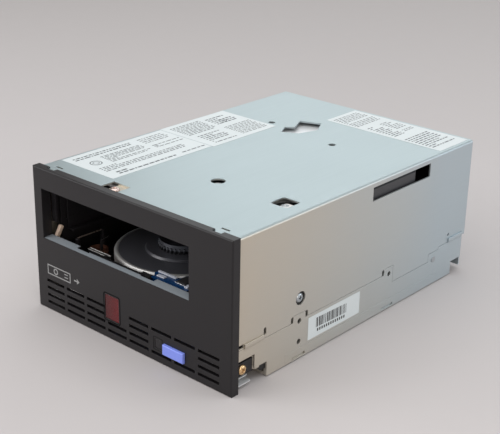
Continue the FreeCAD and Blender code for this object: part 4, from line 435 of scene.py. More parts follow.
# %% Brushed, cast and turned metals
def metal(name, colour, roughness, grain=(1, 1, 1), scale=700, metallic=1.0):
    """Metal with a grain in its roughness and a cloud in its tint."""
    made = Finish(name, colour, roughness, metallic)
    lines = made.noise(scale, grain, 3)
    cloud = made.noise(60, detail=3)
    made.set("Base Color", made.shades(cloud, colour, 0.12))
    made.set("Roughness", made.between(lines, roughness * 0.8, roughness * 1.2, 0.3, 0.7))
    made.bump(lines, 0.000008, 0.5, made.soft_edge(0.0002))
    return made


bright_zinc = metal("bright_zinc", tint(226, 228, 230), 0.45, (1, 0.03, 1), metallic=0.4)
phosphated = metal("phosphated_steel", tint(40, 37, 40), 0.55, metallic=0.5)
cast_alloy = metal("cast_alloy", tint(58, 55, 58), 0.55, scale=1600, metallic=0.7)
machined = metal("machined_alloy", tint(176, 176, 178), 0.28, (1, 1, 0.05))
nickel = metal("nickel_plate", tint(150, 148, 145), 0.26, (1, 1, 0.05))
steel_rod = metal("ground_steel", tint(178, 176, 176), 0.18, (1, 1, 0.02))
yellow_zinc = metal("yellow_zinc", tint(232, 196, 148), 0.27, scale=1200)
pink_zinc = metal("pale_zinc", tint(236, 214, 206), 0.27, scale=1200)
rivet_alloy = metal("rivet_alloy", tint(186, 192, 196), 0.36)
dress(bright_zinc, "upper_frame")
dress(phosphated, "rail_left", "rail_right", "cam_plate_left", "cam_plate_right", "cam_bridge")
dress(phosphated, "tray", "lever_bracket")
dress(cast_alloy, "deck", "head_carriage", "threading_arm")
dress(machined, "roller_posts", "side_bracket", "reel_rotor")
dress(nickel, "standoffs", "floor_posts", "loader_motor")
dress(steel_rod, "head_rods", "gear_axle")
dress(rivet_alloy, "rivets")

# %% [markdown]
# ## Moulded plastic
#
# The front is moulded in black plastic from a spark-eroded mould, which
# gives it a very fine even grain and a satin sheen. Seen flat on it is
# nearly black, and at a low angle, as on its top edge, the sheen turns it
# grey. The grain is a dense bump, and the roughness drifts a little where
# fingers have rubbed it.

# %% Moulded finishes
def moulded(name, colour, roughness, grain=2600, depth=0.00002, **sockets):
    """Plastic with an eroded grain, a drifting sheen and soft edges."""
    made = Finish(name, colour, roughness, **sockets)
    fine = made.noise(grain)
    cloud = made.noise(22, detail=3)
    made.set("Base Color", made.shades(cloud, colour, 0.1))
    made.set("Roughness", made.between(cloud, roughness - 0.05, roughness + 0.05, 0.3, 0.7))
    made.bump(fine, depth, 0.5, made.soft_edge(0.0003))
    return made


front_black = moulded("front_black", tint(32, 30, 32), 0.34, Specular_IOR_Level=0.34)
SILL = tint(142, 149, 156)
sill_grey = moulded("sill_grey", SILL, 0.5)
sill_grey.set("Base Color", sill_grey.shades(sill_grey.noise(1500), SILL, 0.2))
duct_black = moulded("duct_black", tint(58, 58, 61), 0.38)
gap_black = moulded("gap_black", tint(8, 8, 9), 0.6, Specular_IOR_Level=0.1)
socket_black = moulded("socket_black", tint(30, 30, 32), 0.45)
chip_black = moulded("chip_epoxy", tint(38, 37, 39), 0.6, 4000)
acetal = moulded("white_acetal", tint(228, 224, 214), 0.38, depth=0.00001)
roller_white = moulded("roller_ceramic", tint(222, 220, 214), 0.22, depth=0.000004)
reel_grey = moulded("reel_plastic", tint(176, 178, 180), 0.4)
lever_cream = moulded("lever_cream", tint(226, 200, 180), 0.42, depth=0.00001)
button_blue = moulded("button_blue", tint(136, 154, 252), 0.38)
dress(front_black, "bezel")
dress(duct_black, "window_duct")
dress(socket_black, "power_socket", "data_socket", "library_port", "button_switch")
dress(chip_black, "board_chips")
dress(acetal, "loader_gear", "motor_pinion")
dress(roller_white, *(f"guide_roller_{number}" for number in (1, 2, 3, 4)))
dress(reel_grey, "reel_lower_flange", "reel_upper_flange", "reel_hub")
dress(lever_cream, "entry_lever")
dress(button_blue, "unload_button")

# %% [markdown]
# ## Circuit boards
#
# A circuit board is green or blue because of its solder mask, a thin glossy
# lacquer. Copper tracks under it show as slightly paler lines. A brick
# pattern cut by noise makes lines that run along and across like tracks.

# %% Solder mask with tracks under it
def solder_mask(name, colour):
    """Lacquered board with paler tracks under the lacquer."""
    made = Finish(name, colour, 0.3)
    tracks = made.add(
        "ShaderNodeTexBrick",
        {"Vector": made.place, "Scale": 420, "Mortar Size": 0.03, "Brick Width": 0.9},
    ).outputs["Fac"]
    patches = made.between(made.noise(90), 0, 1, 0.45, 0.55)
    pale = tuple(min(1, level * 1.7 + 0.01) for level in colour)
    made.set("Base Color", made.mix(made.math("MULTIPLY", tracks, patches), colour, pale))
    made.bump(tracks, 0.00002, 0.4)
    return made


blue_board = solder_mask("blue_board", tint(14, 58, 104))
green_board = solder_mask("green_board", tint(24, 84, 62))
dress(blue_board, "sensor_card", "front_board")
dress(green_board, "main_board")

# %% [markdown]
# ## Windings
#
# The motors and the latch magnet are wound with enamelled copper wire. The
# turns show as fine rings round the core, so the finish is a wave texture
# in rings with the wire's gloss.

# %% Enamelled copper turns
def winding(name, colour, direction):
    """Copper wire turns as fine bands."""
    made = Finish(name, colour, 0.32, 0.8)
    turns = made.add(
        "ShaderNodeTexWave",
        {"Vector": made.place, "Scale": 900, "Distortion": 0.6, "Detail": 1},
        wave_type="BANDS",
        bands_direction=direction,
    ).outputs["Fac"]
    made.set("Base Color", made.shades(turns, colour, 0.45))
    made.bump(turns, 0.00008, 0.8)
    return made


dress(winding("stator_copper", tint(176, 98, 58), "X"), "spindle_stator", "reel_stator")
dress(winding("magnet_copper", tint(84, 48, 38), "Z"), "latch_solenoid")

# %% [markdown]
# ## The spindle's disc
#
# The disc under the cartridge is the rotor of the spindle motor. It is dark and satin, turned on a
# lathe, so its fine grooves are rings round its axis. Its rounded rim is polished metal, and the rim's
# near-white colour is partly a painted highlight, brighter than what the rim mirrors. The distance
# from the axis gives both the rings and the place of the rim.

# %% Dark disc with a polished rim
DISC_DARK = tint(84, 84, 90)
RIM_POLISH_AND_HIGHLIGHT = tint(244, 242, 240)


def turned_disc(name, hub, rim):
    """A dark turned disc round a hub that brightens towards its rim, from rim outwards."""
    made = Finish(name, DISC_DARK, 0.36, 0.2)
    offset = made.add(
        "ShaderNodeVectorMath", {0: made.place, 1: hub}, operation="SUBTRACT"
    ).outputs[0]
    flat = made.add(
        "ShaderNodeVectorMath", {0: offset, 1: (1, 1, 0)}, operation="MULTIPLY"
    ).outputs[0]
    reach = made.add("ShaderNodeVectorMath", {0: flat}, operation="LENGTH").outputs["Value"]
    grooves = made.math("SINE", made.math("MULTIPLY", reach, 9000))
    smudge = made.noise(70, detail=3)
    # Polished rim with a painted highlight in part: near-white colour towards the rim.
    rim_polish_and_highlight = made.between(reach, 0, 1, rim, rim + 0.0016)
    made.set("Base Color", made.mix(rim_polish_and_highlight, DISC_DARK, RIM_POLISH_AND_HIGHLIGHT))
    made.set("Roughness", made.between(smudge, 0.3, 0.42))
    made.set("Metallic", made.between(rim_polish_and_highlight, 0.2, 0.7))
    made.bump(grooves, 0.000004, 0.5)
    return made


hub = middle_of("spindle_rotor")
rotor_radius = high_of("spindle_rotor").x - hub.x
disc_finish = turned_disc("spindle_disc", hub * MM, (rotor_radius - 2.7) * MM)
dress(disc_finish, "spindle_rotor")
print("disc of radius", round(rotor_radius, 2), "mm")

# %% [markdown]
# ## The clutch on the disc
#
# A toothed ring on the disc grips the hub of the cartridge. Its foot and its flat top are dark, and
# the steep flanks of its teeth get a pale steel colour as a painted highlight. Height tells foot from
# teeth, and the upward part of the normal tells top from flank.

# %% Dark foot, bright flanks
CLUTCH_DARK = tint(38, 38, 42)
FLANK_HIGHLIGHT = tint(132, 134, 142)


def toothed_steel(name, foot, teeth):
    """Dark up to the foot's height; from the teeth's height up, the steep flanks get a painted
    highlight.
    """
    made = Finish(name, CLUTCH_DARK, 0.36)
    high = made.between(made.along("Z"), 0, 1, foot * MM, teeth * MM)
    facing = made.add("ShaderNodeNewGeometry").outputs["Normal"]
    upward = made.add("ShaderNodeSeparateXYZ", {0: facing}).outputs["Z"]
    # Painted highlight: steep flanks above the foot turn pale steel.
    flank_highlight_mask = made.math("MULTIPLY", high, made.between(upward, 1, 0, 0.3, 0.6))
    flank_noise = made.noise(400)
    flank_highlight_colour = made.shades(flank_noise, FLANK_HIGHLIGHT, 0.12)
    made.set("Base Color", made.mix(flank_highlight_mask, CLUTCH_DARK, flank_highlight_colour))
    made.set("Metallic", made.between(flank_highlight_mask, 0, 0.6))
    made.bump(flank_noise, 0.00001, 0.4, made.soft_edge(0.00015))
    return made


foot_top = low_of("clutch_ring").z + 1.4
dress(toothed_steel("clutch_steel", foot_top, foot_top + 0.4), "clutch_ring")
dress(metal("cap_steel", tint(196, 196, 202), 0.2, metallic=0.7), "spindle_cap")

# %% [markdown]
# ## Windows and lamp
#
# The display sits behind a dark red window that hides it when it is off,
# and the status lamp behind a smoked one. Both are clear plastic with the
# colour in the plastic itself, so they use transmission with a low
# roughness. A red haze inside the display window comes from its filter.

# %% Tinted windows and what shines behind them
def tinted(name, colour, clear):
    """Tinted clear plastic, slightly uneven as moulded."""
    made = Finish(name, colour, 0.12, Transmission_Weight=clear, IOR=1.49)
    uneven = made.noise(140, detail=3)
    made.set("Base Color", made.shades(uneven, colour, 0.2))
    made.set("Roughness", made.between(uneven, 0.08, 0.2))
    made.bump(uneven, 0.00001, 0.4, made.soft_edge(0.0003))
    return made


red_window = tinted("red_window", tint(136, 20, 28), 0.6)
smoked_window = tinted("smoked_window", tint(32, 30, 33), 0.1)
display_dark = moulded("display_backing", tint(90, 22, 28), 0.5)
lamp_clear = moulded("lamp_clear", tint(200, 198, 190), 0.3)
pane_low, pane_high = low_of("display_window").x * MM, high_of("display_window").x * MM
drift = red_window.between(red_window.along("X"), 0, 1, pane_low, pane_high)
red_window.set("Base Color", red_window.mix(drift, tint(104, 34, 38), tint(150, 14, 28)))
dress(red_window, "display_window")
dress(smoked_window, "status_lens")
dress(display_dark, "display_module")
dress(lamp_clear, "status_lamp")

# %% [markdown]
# ## The tape head
#
# The head that reads the tape has a contour of hard ceramic bars between
# plates of plated metal, seen as fine stripes across its face.

# %% Striped head
head_finish = Finish("head_stack", tint(120, 118, 116), 0.2, 0.6)
stripes = head_finish.add(
    "ShaderNodeTexWave", {"Vector": head_finish.place, "Scale": 160}, bands_direction="Y"
).outputs["Fac"]
head_finish.set("Base Color", head_finish.mix(stripes, tint(60, 58, 60), tint(196, 190, 180)))
head_finish.bump(stripes, 0.00003, 0.3)
dress(head_finish, "tape_head")

# %% [markdown]
# ## Labels
#
# The labels are coated paper. Paper is never quite even, so its colour has
# a faint cloud and its surface a slight tooth.

# %% Label paper and ink
LABEL_WHITE = tint(214, 221, 223)
label_paper = Finish("label_paper", LABEL_WHITE, 0.48)
fibre = label_paper.noise(900, detail=3)
cloud = label_paper.noise(30, detail=3)
label_paper.set("Base Color", label_paper.shades(cloud, LABEL_WHITE, 0.03))
label_paper.bump(fibre, 0.000006, 0.4)
dress(label_paper, "labels")


def speckled(name, colour, roughness, grain, spread):
    """Flat print, a little uneven in its colour."""
    made = Finish(name, colour, roughness)
    made.set("Base Color", made.shades(made.noise(grain), colour, spread))
    return made


ink = speckled("label_ink", tint(90, 96, 100), 0.5, 300, 0.3)
dark_ink = speckled("dark_ink", tint(44, 42, 42), 0.45, 300, 0.3)

# %% [markdown]
# ## Print on the labels
#
# Small print reads as rows of grey dashes at this distance. We lay rows of
# thin dashes a hair above the paper, of uneven lengths and with short last
# rows, so that they look like paragraphs but say nothing. A seeded random
# source gives the same rows each time.

# %% Rows of dashes
INK_RISE = 0.03
dashes = random.Random(7)


def dash_rows(shape, block_of_print, pitch, weight, level):
    """Rows of dashes that run along y in a block (left, front, right, rear) at a height."""
    left, front, right, rear = block_of_print
    across = left
    while across + pitch <= right:
        along = front
        last = rear if dashes.random() > 0.2 else front + (rear - front) * dashes.random()
        while along < last - 1:
            length = min(dashes.uniform(0.9, 4.2), last - along)
            corners = [
                (across, along), (across + weight, along),
                (across + weight, along + length), (across, along + length),
            ]
            shape.faces.new([shape.verts.new((x * MM, y * MM, level * MM)) for x, y in corners])
            along += length + 0.8
        across += pitch


def ring_mark(shape, x, y, level, outer, inner):
    """A plain ring, as a generic mark."""
    steps = 28
    rims = []
    for radius in (inner, outer):
        rims.append([
            shape.verts.new((
                (x + radius * math.cos(2 * math.pi * step / steps)) * MM,
                (y + radius * math.sin(2 * math.pi * step / steps)) * MM,
                level * MM,
            ))
            for step in range(steps)
        ])
    for step in range(steps):
        after = (step + 1) % steps
        shape.faces.new((rims[0][step], rims[0][after], rims[1][after], rims[1][step]))


def rows_in(table, x, y, shape, level):
    """Fills the blocks of a table with rows, placed from a point."""
    for left, front, right, rear, pitch, weight in table:
        dash_rows(shape, (x + left, y + front, x + right, y + rear), pitch, weight, level)


print("print stands", INK_RISE, "mm over the paper")

# %% [markdown]
# ## Where the print goes
#
# Each block of print is a left, front, right and rear edge, the distance
# between its rows and the weight of a dash. The front labels are measured
# from their front left corner, and the rear label from the middle plane
# and its own rear edge.

# %% Lay the print
FRONT_PRINT = (
    (5, 4, 10, 46, 2.4, 1.1),
    (5, 52, 16, 72, 2.4, 0.8),
    (12, 18, 24, 48, 1.7, 0.7),
    (26, 5, 34, 66, 1.9, 0.8),
    (36, 8, 42, 52, 2.6, 1.3),
    (18, 52, 24, 74, 1.8, 0.8),
    (36, 56, 42, 74, 2.2, 1.0),
    (4, 80, 22, 104, 2.0, 0.8),
    (25, 82, 42, 100, 2.4, 1.0),
    (6, 108, 20, 126, 2.6, 1.2),
    (24, 106, 42, 128, 1.9, 0.7),
)
REAR_PRINT = (
    (-9, -27, 12, -3, 2.0, 0.7),
    (16, -26, 40, -16, 2.2, 0.9),
    (16, -13, 36, -3, 2.0, 0.7),
    (44, -27, 66, -4, 2.4, 1.0),
)
MARKS = ((18, 10, 3.6, 3.0), (18, 10, 2.0, 1.6), (14, 116, 2.4, 1.9))
label_low, label_high = low_of("labels"), high_of("labels")
level = label_high.z + INK_RISE
print_shape = bmesh.new()
rows_in(FRONT_PRINT, label_low.x, label_low.y, print_shape, level)
rows_in(REAR_PRINT, 0, label_high.y, print_shape, level)
for x, y, outer, inner in MARKS:
    ring_mark(print_shape, label_low.x + x, label_low.y + y, level, outer, inner)
small_print = piece("label_small_print", print_shape, ink)
print("the print has", len(small_print.data.polygons), "faces")

# %% [markdown]
# ## Bars on the side label
#
# The label on the side carries a bar pattern and a row of marks under it.
# The bars have uneven widths from the same seeded source, and carry no
# number. Whoever stuck the print on was a little careless, so the pattern
# leans slightly against the label's edges.

# %% Bar pattern
def bar_pattern(face, front, low, length, tall, lean):
    """Upright bars on the right side of the case, and a row of short marks below."""
    shape = bmesh.new()

    def bar(start, width, foot, top):
        corners = [(start, foot), (start + width, foot), (start + width, top), (start, top)]
        leaned = [(y, z + y * lean) for y, z in corners]
        shape.faces.new([
            shape.verts.new((face * MM, (front + y) * MM, (low + z) * MM)) for y, z in leaned
        ])

    along = 0.0
    while along < length:
        width = dashes.choice((0.35, 0.35, 0.6, 0.9))
        bar(along, width, 0, tall)
        along += width + dashes.choice((0.35, 0.45, 0.8))
    along = 1.0
    while along < length - 2:
        bar(along, 1.1, -2.6, -0.9)
        along += 1.9
    return piece("side_label_bars", shape, dark_ink)


bars = bar_pattern(label_high.x + INK_RISE, -38.0, label_low.z + 5.4, 26.0, 5.6, -0.03)
print("the pattern has", len(bars.data.polygons), "bars and marks")

# %% [markdown]
# ## The sill of the slot
#
# The lower lip of the slot is a separate grey strip that guides the
# cartridge in. It slopes up a little towards the inside so that the
# cartridge can't catch, and two notches in its rear edge clear the catches
# behind. It lies on the CAD sill and follows its notches.

# %% Guide strip on the sill
SLOT_LEFT, SLOT_RIGHT = -67.15, 44.95
SILL_TOP = 43.15
face_y = low_of("bezel").y


def guide_strip():
    """A thin strip whose outline steps round the two notches, raised at its rear."""
    front, rear, deep = face_y + 0.5, -98.45, -101.25
    outline = [
        (SLOT_LEFT, front), (SLOT_RIGHT, front), (SLOT_RIGHT, rear), (16.6, rear),
        (16.6, deep), (6.7, deep), (6.7, rear - 2.1), (-33.3, rear - 2.1), (-33.3, deep),
        (-43.2, deep), (-43.2, rear), (SLOT_LEFT, rear),
    ]
    shape = bmesh.new()
    low = [shape.verts.new(Vector((x, y, SILL_TOP + 0.02)) * MM) for x, y in outline]
    high = []
    for x, y in outline:
        rise = 0.1 + 0.35 * (y - front) / (rear - front)
        high.append(shape.verts.new(Vector((x, y, SILL_TOP + rise)) * MM))
    shape.faces.new(low)
    shape.faces.new(high)
    for index in range(len(outline)):
        after = (index + 1) % len(outline)
        shape.faces.new((low[index], low[after], high[after], high[index]))
    return piece("slot_guide_strip", shape, sill_grey)


strip = guide_strip()
print("strip of", len(strip.data.vertices), "corners")

# %% [markdown]
# ## Screws
#
# The CAD screws are plain heads on plain shanks. A real pan head is domed
# and has a cross recess. We lathe the dome, cut the cross with a boolean,
# and let the new screw stand for the CAD one.

# %% The cross cutter
HEAD_RADIUS, HEAD_HEIGHT, SHANK_RADIUS, SHANK_LENGTH = 2.7, 1.6, 1.35, 4.0


def cross_cutter():
    """A tapered cross that is sunk into a screw head."""
    shape = bmesh.new()
    for turn_by in (0, math.pi / 2):
        outline = [(-1.6, HEAD_HEIGHT + 0.6), (-0.7, 0.35), (0.7, 0.35), (1.6, HEAD_HEIGHT + 0.6)]
        before = set(shape.verts)
        prism(shape, outline, -0.34, 0.34, 1)
        bmesh.ops.rotate(
            shape,
            verts=[corner for corner in shape.verts if corner not in before],
            matrix=Matrix.Rotation(turn_by, 3, "Z"),
        )
    bmesh.ops.recalc_face_normals(shape, faces=shape.faces)
    mesh = bpy.data.meshes.new("cross_cutter")
    shape.to_mesh(mesh)
    shape.free()
    return bpy.data.objects.new("cross_cutter", mesh)


print("heads of radius", HEAD_RADIUS, "mm and height", HEAD_HEIGHT, "mm")

# %% [markdown]
# ## One screw
#
# A boolean needs two objects in the scene. We apply it at once, take its
# result as the new mesh and remove the cutter, then turn the screw to face
# outward and move it to its seat.

# %% Lathe a screw and cut its cross
def pan_head_screw(name, seat, outward, finish, twist):
    """A screw with a domed head, seated at a point and facing outward."""
    shape = bmesh.new()
    dome = [
        (0, -SHANK_LENGTH), (SHANK_RADIUS, -SHANK_LENGTH), (SHANK_RADIUS, 0),
        (HEAD_RADIUS, 0), (HEAD_RADIUS, 0.55), (HEAD_RADIUS - 0.25, 1.05),
        (HEAD_RADIUS - 0.8, 1.4), (HEAD_RADIUS - 1.6, HEAD_HEIGHT - 0.02), (0, HEAD_HEIGHT),
    ]
    turned(shape, dome, (0, 0, 0))
    made = piece(name, shape, finish, smooth=True)
    cutter = cross_cutter()
    bpy.context.scene.collection.objects.link(cutter)
    cut = made.modifiers.new("cross", "BOOLEAN")
    cut.object = cutter
    cut.operation = "DIFFERENCE"
    cut.solver = "EXACT"
    cut.use_self = True
    bpy.context.view_layer.update()
    shaped = made.evaluated_get(bpy.context.evaluated_depsgraph_get())
    made.data = bpy.data.meshes.new_from_object(shaped)
    made.modifiers.clear()
    bpy.data.objects.remove(cutter)
    facing = Vector((0, 0, 1)).rotation_difference(Vector(outward)).to_matrix().to_4x4()
    spin = Matrix.Rotation(math.radians(twist), 4, "Z")
    made.data.transform(Matrix.Translation(Vector(seat) * MM) @ facing @ spin)
    return made


print("a screw is", SHANK_LENGTH + HEAD_HEIGHT, "mm long")

# %% [markdown]
# ## Seats of the screws
#
# Three screws hold the front and two hold the inner frame. The boxes of the
# CAD screws give their seats. Real screws end up at any angle, so each has
# a twist of its own.

# %% Fit the screws
CAD_HEAD_RADIUS, CAD_HEAD_HEIGHT = 2.6, 1.0


def fit_screws():
    """Screws on the seats of the CAD screws, each standing for its CAD node."""
    front_low, front_high = low_of("bezel_screws"), high_of("bezel_screws")
    frame_low, frame_high = low_of("frame_screws"), high_of("frame_screws")
    side = front_high.x - CAD_HEAD_HEIGHT
    side_y = (front_low.y + front_high.y) / 2 - 0.05
    side_z = front_low.z + CAD_HEAD_RADIUS
    top_z = front_high.z - CAD_HEAD_HEIGHT
    on_top = (
        frame_low.x + CAD_HEAD_RADIUS, frame_high.y - CAD_HEAD_RADIUS,
        frame_high.z - CAD_HEAD_HEIGHT,
    )
    on_side = (
        frame_high.x - CAD_HEAD_HEIGHT, frame_low.y + CAD_HEAD_RADIUS,
        frame_low.z + CAD_HEAD_RADIUS,
    )
    seats = [
        ("front_screw_top", "bezel_screws", (-18, side_y, top_z), (0, 0, 1), pink_zinc, 20),
        ("front_screw_right", "bezel_screws", (side, side_y, side_z), (1, 0, 0), yellow_zinc, 35),
        ("front_screw_left", "bezel_screws", (-side, side_y, side_z), (-1, 0, 0), yellow_zinc, 10),
        ("frame_screw_top", "frame_screws", on_top, (0, 0, 1), rivet_alloy, 40),
        ("frame_screw_side", "frame_screws", on_side, (1, 0, 0), rivet_alloy, 5),
    ]
    for name, node, seat, outward, finish, twist in seats:
        made = pan_head_screw(name, seat, outward, finish, twist)
        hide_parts(node)
    return len(seats)


print("fitted", fit_screws(), "screws")

# %% [markdown]
# ## The lower front corner
#
# Where the side wall is cut away at the lower front corner, two thin
# springs of the case reach forward under the plastic front and touch it.
# Their upper edges catch the light. They are strips with a rolled end.

# %% Contact strips under the corner
def contact_strips():
    """Two stepped strips on each side, one low and bright, one above it."""
    shape = bmesh.new()
    front = low_of("top_cover").y + 4.4
    for side in (-1, 1):
        for inner, outer, low, thick, length in (
            (58, 72.2, 2.4, 0.45, 8.2),
            (60, 71.4, 6.2, 0.4, 6.4),
        ):
            outline = [
                (front, low), (front + length, low), (front + length + 0.5, low + 0.4),
                (front + length + 0.5, low + 0.4 + thick), (front + length, low + thick),
                (front, low + thick),
            ]
            start, end = sorted((side * inner, side * outer))
            prism(shape, outline, start, end, 0)
    return piece("contact_strips", shape, bright_zinc)


strips = contact_strips()
print("strips of", len(strips.data.polygons), "faces")

# %% [markdown]
# ## Printed mark on the front
#
# The printed place under the slot gets a pictogram in light grey: the
# outline of a cartridge with its hub, and an arrow that says which way it
# goes in. It is print, so it is as thin as print.

# %% Cartridge pictogram
print_grey = speckled("print_grey", tint(150, 150, 150), 0.5, 400, 0.15)


def pictogram(left, low, width, height, level):
    """A cartridge outline, its hub and window, and an arrow, standing on the front face."""
    shape = bmesh.new()
    line = 0.7

    def flat(points):
        shape.faces.new([shape.verts.new(Vector((x, level, z)) * MM) for x, z in points])

    right, top = left + width, low + height
    for x0, z0, x1, z1 in (
        (left, low, right, low + line),
        (left, top - line, right, top),
        (left, low + line, left + line, top - line),
        (right - line, low + line, right, top - line),
        (right - 5.2, low + 1.9, right - 2.2, low + 2.5),
        (right - 5.2, low + 3.7, right - 2.2, low + 4.3),
    ):
        flat([(x0, z0), (x1, z0), (x1, z1), (x0, z1)])
    steps = 20
    for step in range(steps):
        start, end = (2 * math.pi * turn / steps for turn in (step, step + 1))
        flat([
            (left + 7 + reach * math.cos(angle), low + height / 2 + reach * math.sin(angle))
            for reach, angle in ((1.1, start), (1.9, start), (1.9, end), (1.1, end))
        ])
    tip = right + 7.5
    middle = low + height / 2
    flat([(tip - 4.6, middle - 0.45), (tip - 2.2, middle - 0.45), (tip - 2.2, middle + 0.45),
          (tip - 4.6, middle + 0.45)])
    flat([(tip - 2.2, middle - 1.7), (tip, middle), (tip - 2.2, middle + 1.7)])
    return piece("front_pictogram", shape, print_grey)


mark = pictogram(-65.0, 22.4, 19.5, 6.0, face_y - 0.03)
print("the mark has", len(mark.data.polygons), "faces")

# %% [markdown]
# ## Inside the display
#
# Behind the red window sits a one-figure display. When it is off, its bars
# are only a little paler than the filter. We lay the seven bars of a blank
# figure on the display's face.

# %% Bars of the blank figure
bar_pale = speckled("display_bars", tint(236, 150, 150), 0.45, 500, 0.2)


def blank_figure():
    """Seven bars, leaning a little, as on any one-figure display."""
    shape = bmesh.new()
    low, high = low_of("display_module"), high_of("display_module")
    middle_x, middle_z = (low.x + high.x) / 2, (low.z + high.z) / 2
    level = low.y - 0.02
    half, tall, thick = 2.0, 3.6, 0.55
    bars = []
    for z in (-tall, 0, tall):
        bars.append([(-half, z - thick), (half, z - thick), (half, z + thick), (-half, z + thick)])
    for x in (-half - 0.4, half + 0.4):
        for z in (-tall + thick + 0.2, thick + 0.2):
            top = z + tall - 2 * thick - 0.4
            bars.append([(x - thick, z), (x + thick, z), (x + thick, top), (x - thick, top)])
    for bar in bars:
        leaned = [(middle_x + x + 0.12 * z, middle_z + z) for x, z in bar]
        shape.faces.new([shape.verts.new(Vector((x, level, z)) * MM) for x, z in leaned])
    return piece("display_bars", shape, bar_pale)


print("bars:", len(blank_figure().data.polygons))

# %% [markdown]
# ## A bead round the windows
#
# The windows are pressed into the front, and a thin dark bead hides the gap
# round each. The bead is a ring between two rounded rectangles, so the
# window seems to have rounded corners although its CAD solid has square
# ones.

# %% Beads with rounded corners
def rounded(middle, half, radius, steps=6):
    """The outline of a rectangle with rounded corners, in two axes."""
    outline = []
    for quarter, (side_x, side_z) in enumerate(((1, 1), (-1, 1), (-1, -1), (1, -1))):
        for step in range(steps + 1):
            angle = math.radians(90 * (quarter + step / steps))
            outline.append((
                middle[0] + side_x * (half[0] - radius) + radius * math.cos(angle),
                middle[1] + side_z * (half[1] - radius) + radius * math.sin(angle),
            ))
    return outline


def window_bead(node, inside, outside, radius):
    """A ring that covers the edge of a window, standing a hair proud of the front."""
    low, high = low_of(node), high_of(node)
    middle = ((low.x + high.x) / 2, (low.z + high.z) / 2)
    half = ((high.x - low.x) / 2, (high.z - low.z) / 2)
    inner = rounded(middle, [reach - inside for reach in half], radius)
    outer = rounded(middle, [reach + outside for reach in half], radius + outside)
    shape = bmesh.new()
    loops = []
    for outline, level in ((inner, low.y + 0.1), (inner, face_y - 0.04),
                           (outer, face_y - 0.04), (outer, low.y + 0.1)):
        loops.append([shape.verts.new(Vector((x, level, z)) * MM) for x, z in outline])
    for first, second in zip(loops, loops[1:] + loops[:1]):
        for index in range(len(first)):
            after = (index + 1) % len(first)
            shape.faces.new((first[index], first[after], second[after], second[index]))
    return piece(f"{node}_bead", shape, gap_black)


print("beads:", [window_bead(*bead).name for bead in (
    ("display_window", 0.4, 0.25, 1.4), ("status_lens", 0.15, 0.1, 0.5),
)])

# %% [markdown]
# ## The sensor card's parts
#
# The connectors of the blue card are plain blocks in the CAD. Here they are
# a small blue riser on the card with what it carries: a white ribbon socket
# along its rear edge, a light grey block by the notch, a black sensor in a
# plated frame and a white socket at its end. The riser stands on posts and
# stays clear of the disc behind it.

# %% Riser and the parts on it
connector_white = moulded("connector_white", tint(206, 210, 222), 0.4)
tinned = metal("tinned", tint(210, 210, 214), 0.3)
RISER_LOW, RISER_TOP = 40.7, 41.5
CARD_TOP = high_of("sensor_card").z


def card_riser():
    """The riser, cut back round the disc, on four short posts."""
    shape = bmesh.new()
    outline = [
        (8.6, -95.2), (34.0, -95.2), (34.0, -82.0), (21.6, -82.0), (21.6, -86.2),
        (20.8, -87.0), (7.4, -87.0), (6.4, -88.0), (6.4, -90.6), (8.6, -92.8),
    ]
    prism(shape, outline, RISER_LOW, RISER_TOP, 2)
    post = [(0.9, CARD_TOP - 0.05), (0.9, RISER_LOW + 0.05)]
    for x in (10.0, 32.0):
        for y in (-94.0, -89.0):
            turned(shape, post, (x, y, 0), steps=16)
    return piece("card_riser", shape, blue_board)


def riser_parts():
    """Sockets, sensor and frame on the riser, each with bevelled edges."""
    ribbon = bmesh.new()
    block(ribbon, (7.6, -89.4, RISER_TOP), (20.6, -87.7, RISER_TOP + 0.9), 0.15)
    block(ribbon, (10.2, -93.2, RISER_TOP), (15.8, -90.7, RISER_TOP + 0.6), 0.15)
    block(ribbon, (30.8, -93.6, RISER_TOP), (33.4, -90.6, RISER_TOP + 1.2), 0.2)
    white = piece("ribbon_sockets", ribbon, connector_white)
    frame_shape = bmesh.new()
    block(frame_shape, (22.3, -91.8, RISER_TOP), (29.9, -91.55, RISER_TOP + 0.3), 0.06)
    block(frame_shape, (22.3, -91.5, RISER_TOP), (22.55, -83.0, RISER_TOP + 0.3), 0.06)
    plated = piece("sensor_frame", frame_shape, tinned)
    sensor_shape = bmesh.new()
    block(sensor_shape, (22.8, -91.4, RISER_TOP), (29.6, -83.2, RISER_TOP + 0.9), 0.3)
    block(sensor_shape, (0.5, -96.8, CARD_TOP), (8.2, -93.0, RISER_TOP - 0.3), 0.3)
    black = piece("card_sensor", sensor_shape, chip_black)
    return [white, plated, black]


on_card = [card_riser(), *riser_parts()]
for made in on_card:
    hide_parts("card_connectors")
print("card parts:", [made.name for made in on_card])

# %% [markdown]
# ## The comb in the bay
#
# In the dark left of the bay only a few bright things show. One is a comb
# of thin wires along the sill. It is made of narrow blocks on a black bar.

# %% Comb of thin wires
dull_spring = metal("dull_spring", tint(220, 218, 216), 0.3, metallic=0.5)


def latch_comb():
    """A black bar along the sill with a bright wire on each edge and rungs between."""
    left, right, front, rear, top = -41.6, -25.0, -95.0, -92.8, 41.4
    bar = bmesh.new()
    outline = [(left, front + 0.3), (left + 0.4, front), (right - 3, front), (right, rear - 0.4),
               (right, rear), (left, rear)]
    prism(bar, outline, top - 1.4, top, 2)
    wires = bmesh.new()
    block(wires, (left, front, top), (right - 3, front + 0.2, top + 0.25), 0.05)
    block(wires, (left, rear - 0.25, top), (right, rear, top + 0.3), 0.05)
    for count in range(7):
        x = left + 0.2 + 1.5 * count
        block(wires, (x, front + 0.2, top), (x + 0.25, rear - 0.25, top + 0.12), 0.03)
    return piece("latch_comb", bar, socket_black), piece("comb_wires", wires, dull_spring)


print("comb:", [made.name for made in latch_comb()])

# %% [markdown]
# ## Rods, posts and cap
#
# The others are two thin rods of the cartridge latch on their posts, a
# short leg of a spring and the brown cap of the latch magnet. A rod is a
# curve through three points with a round bevel, and the posts and the cap
# are lathed.

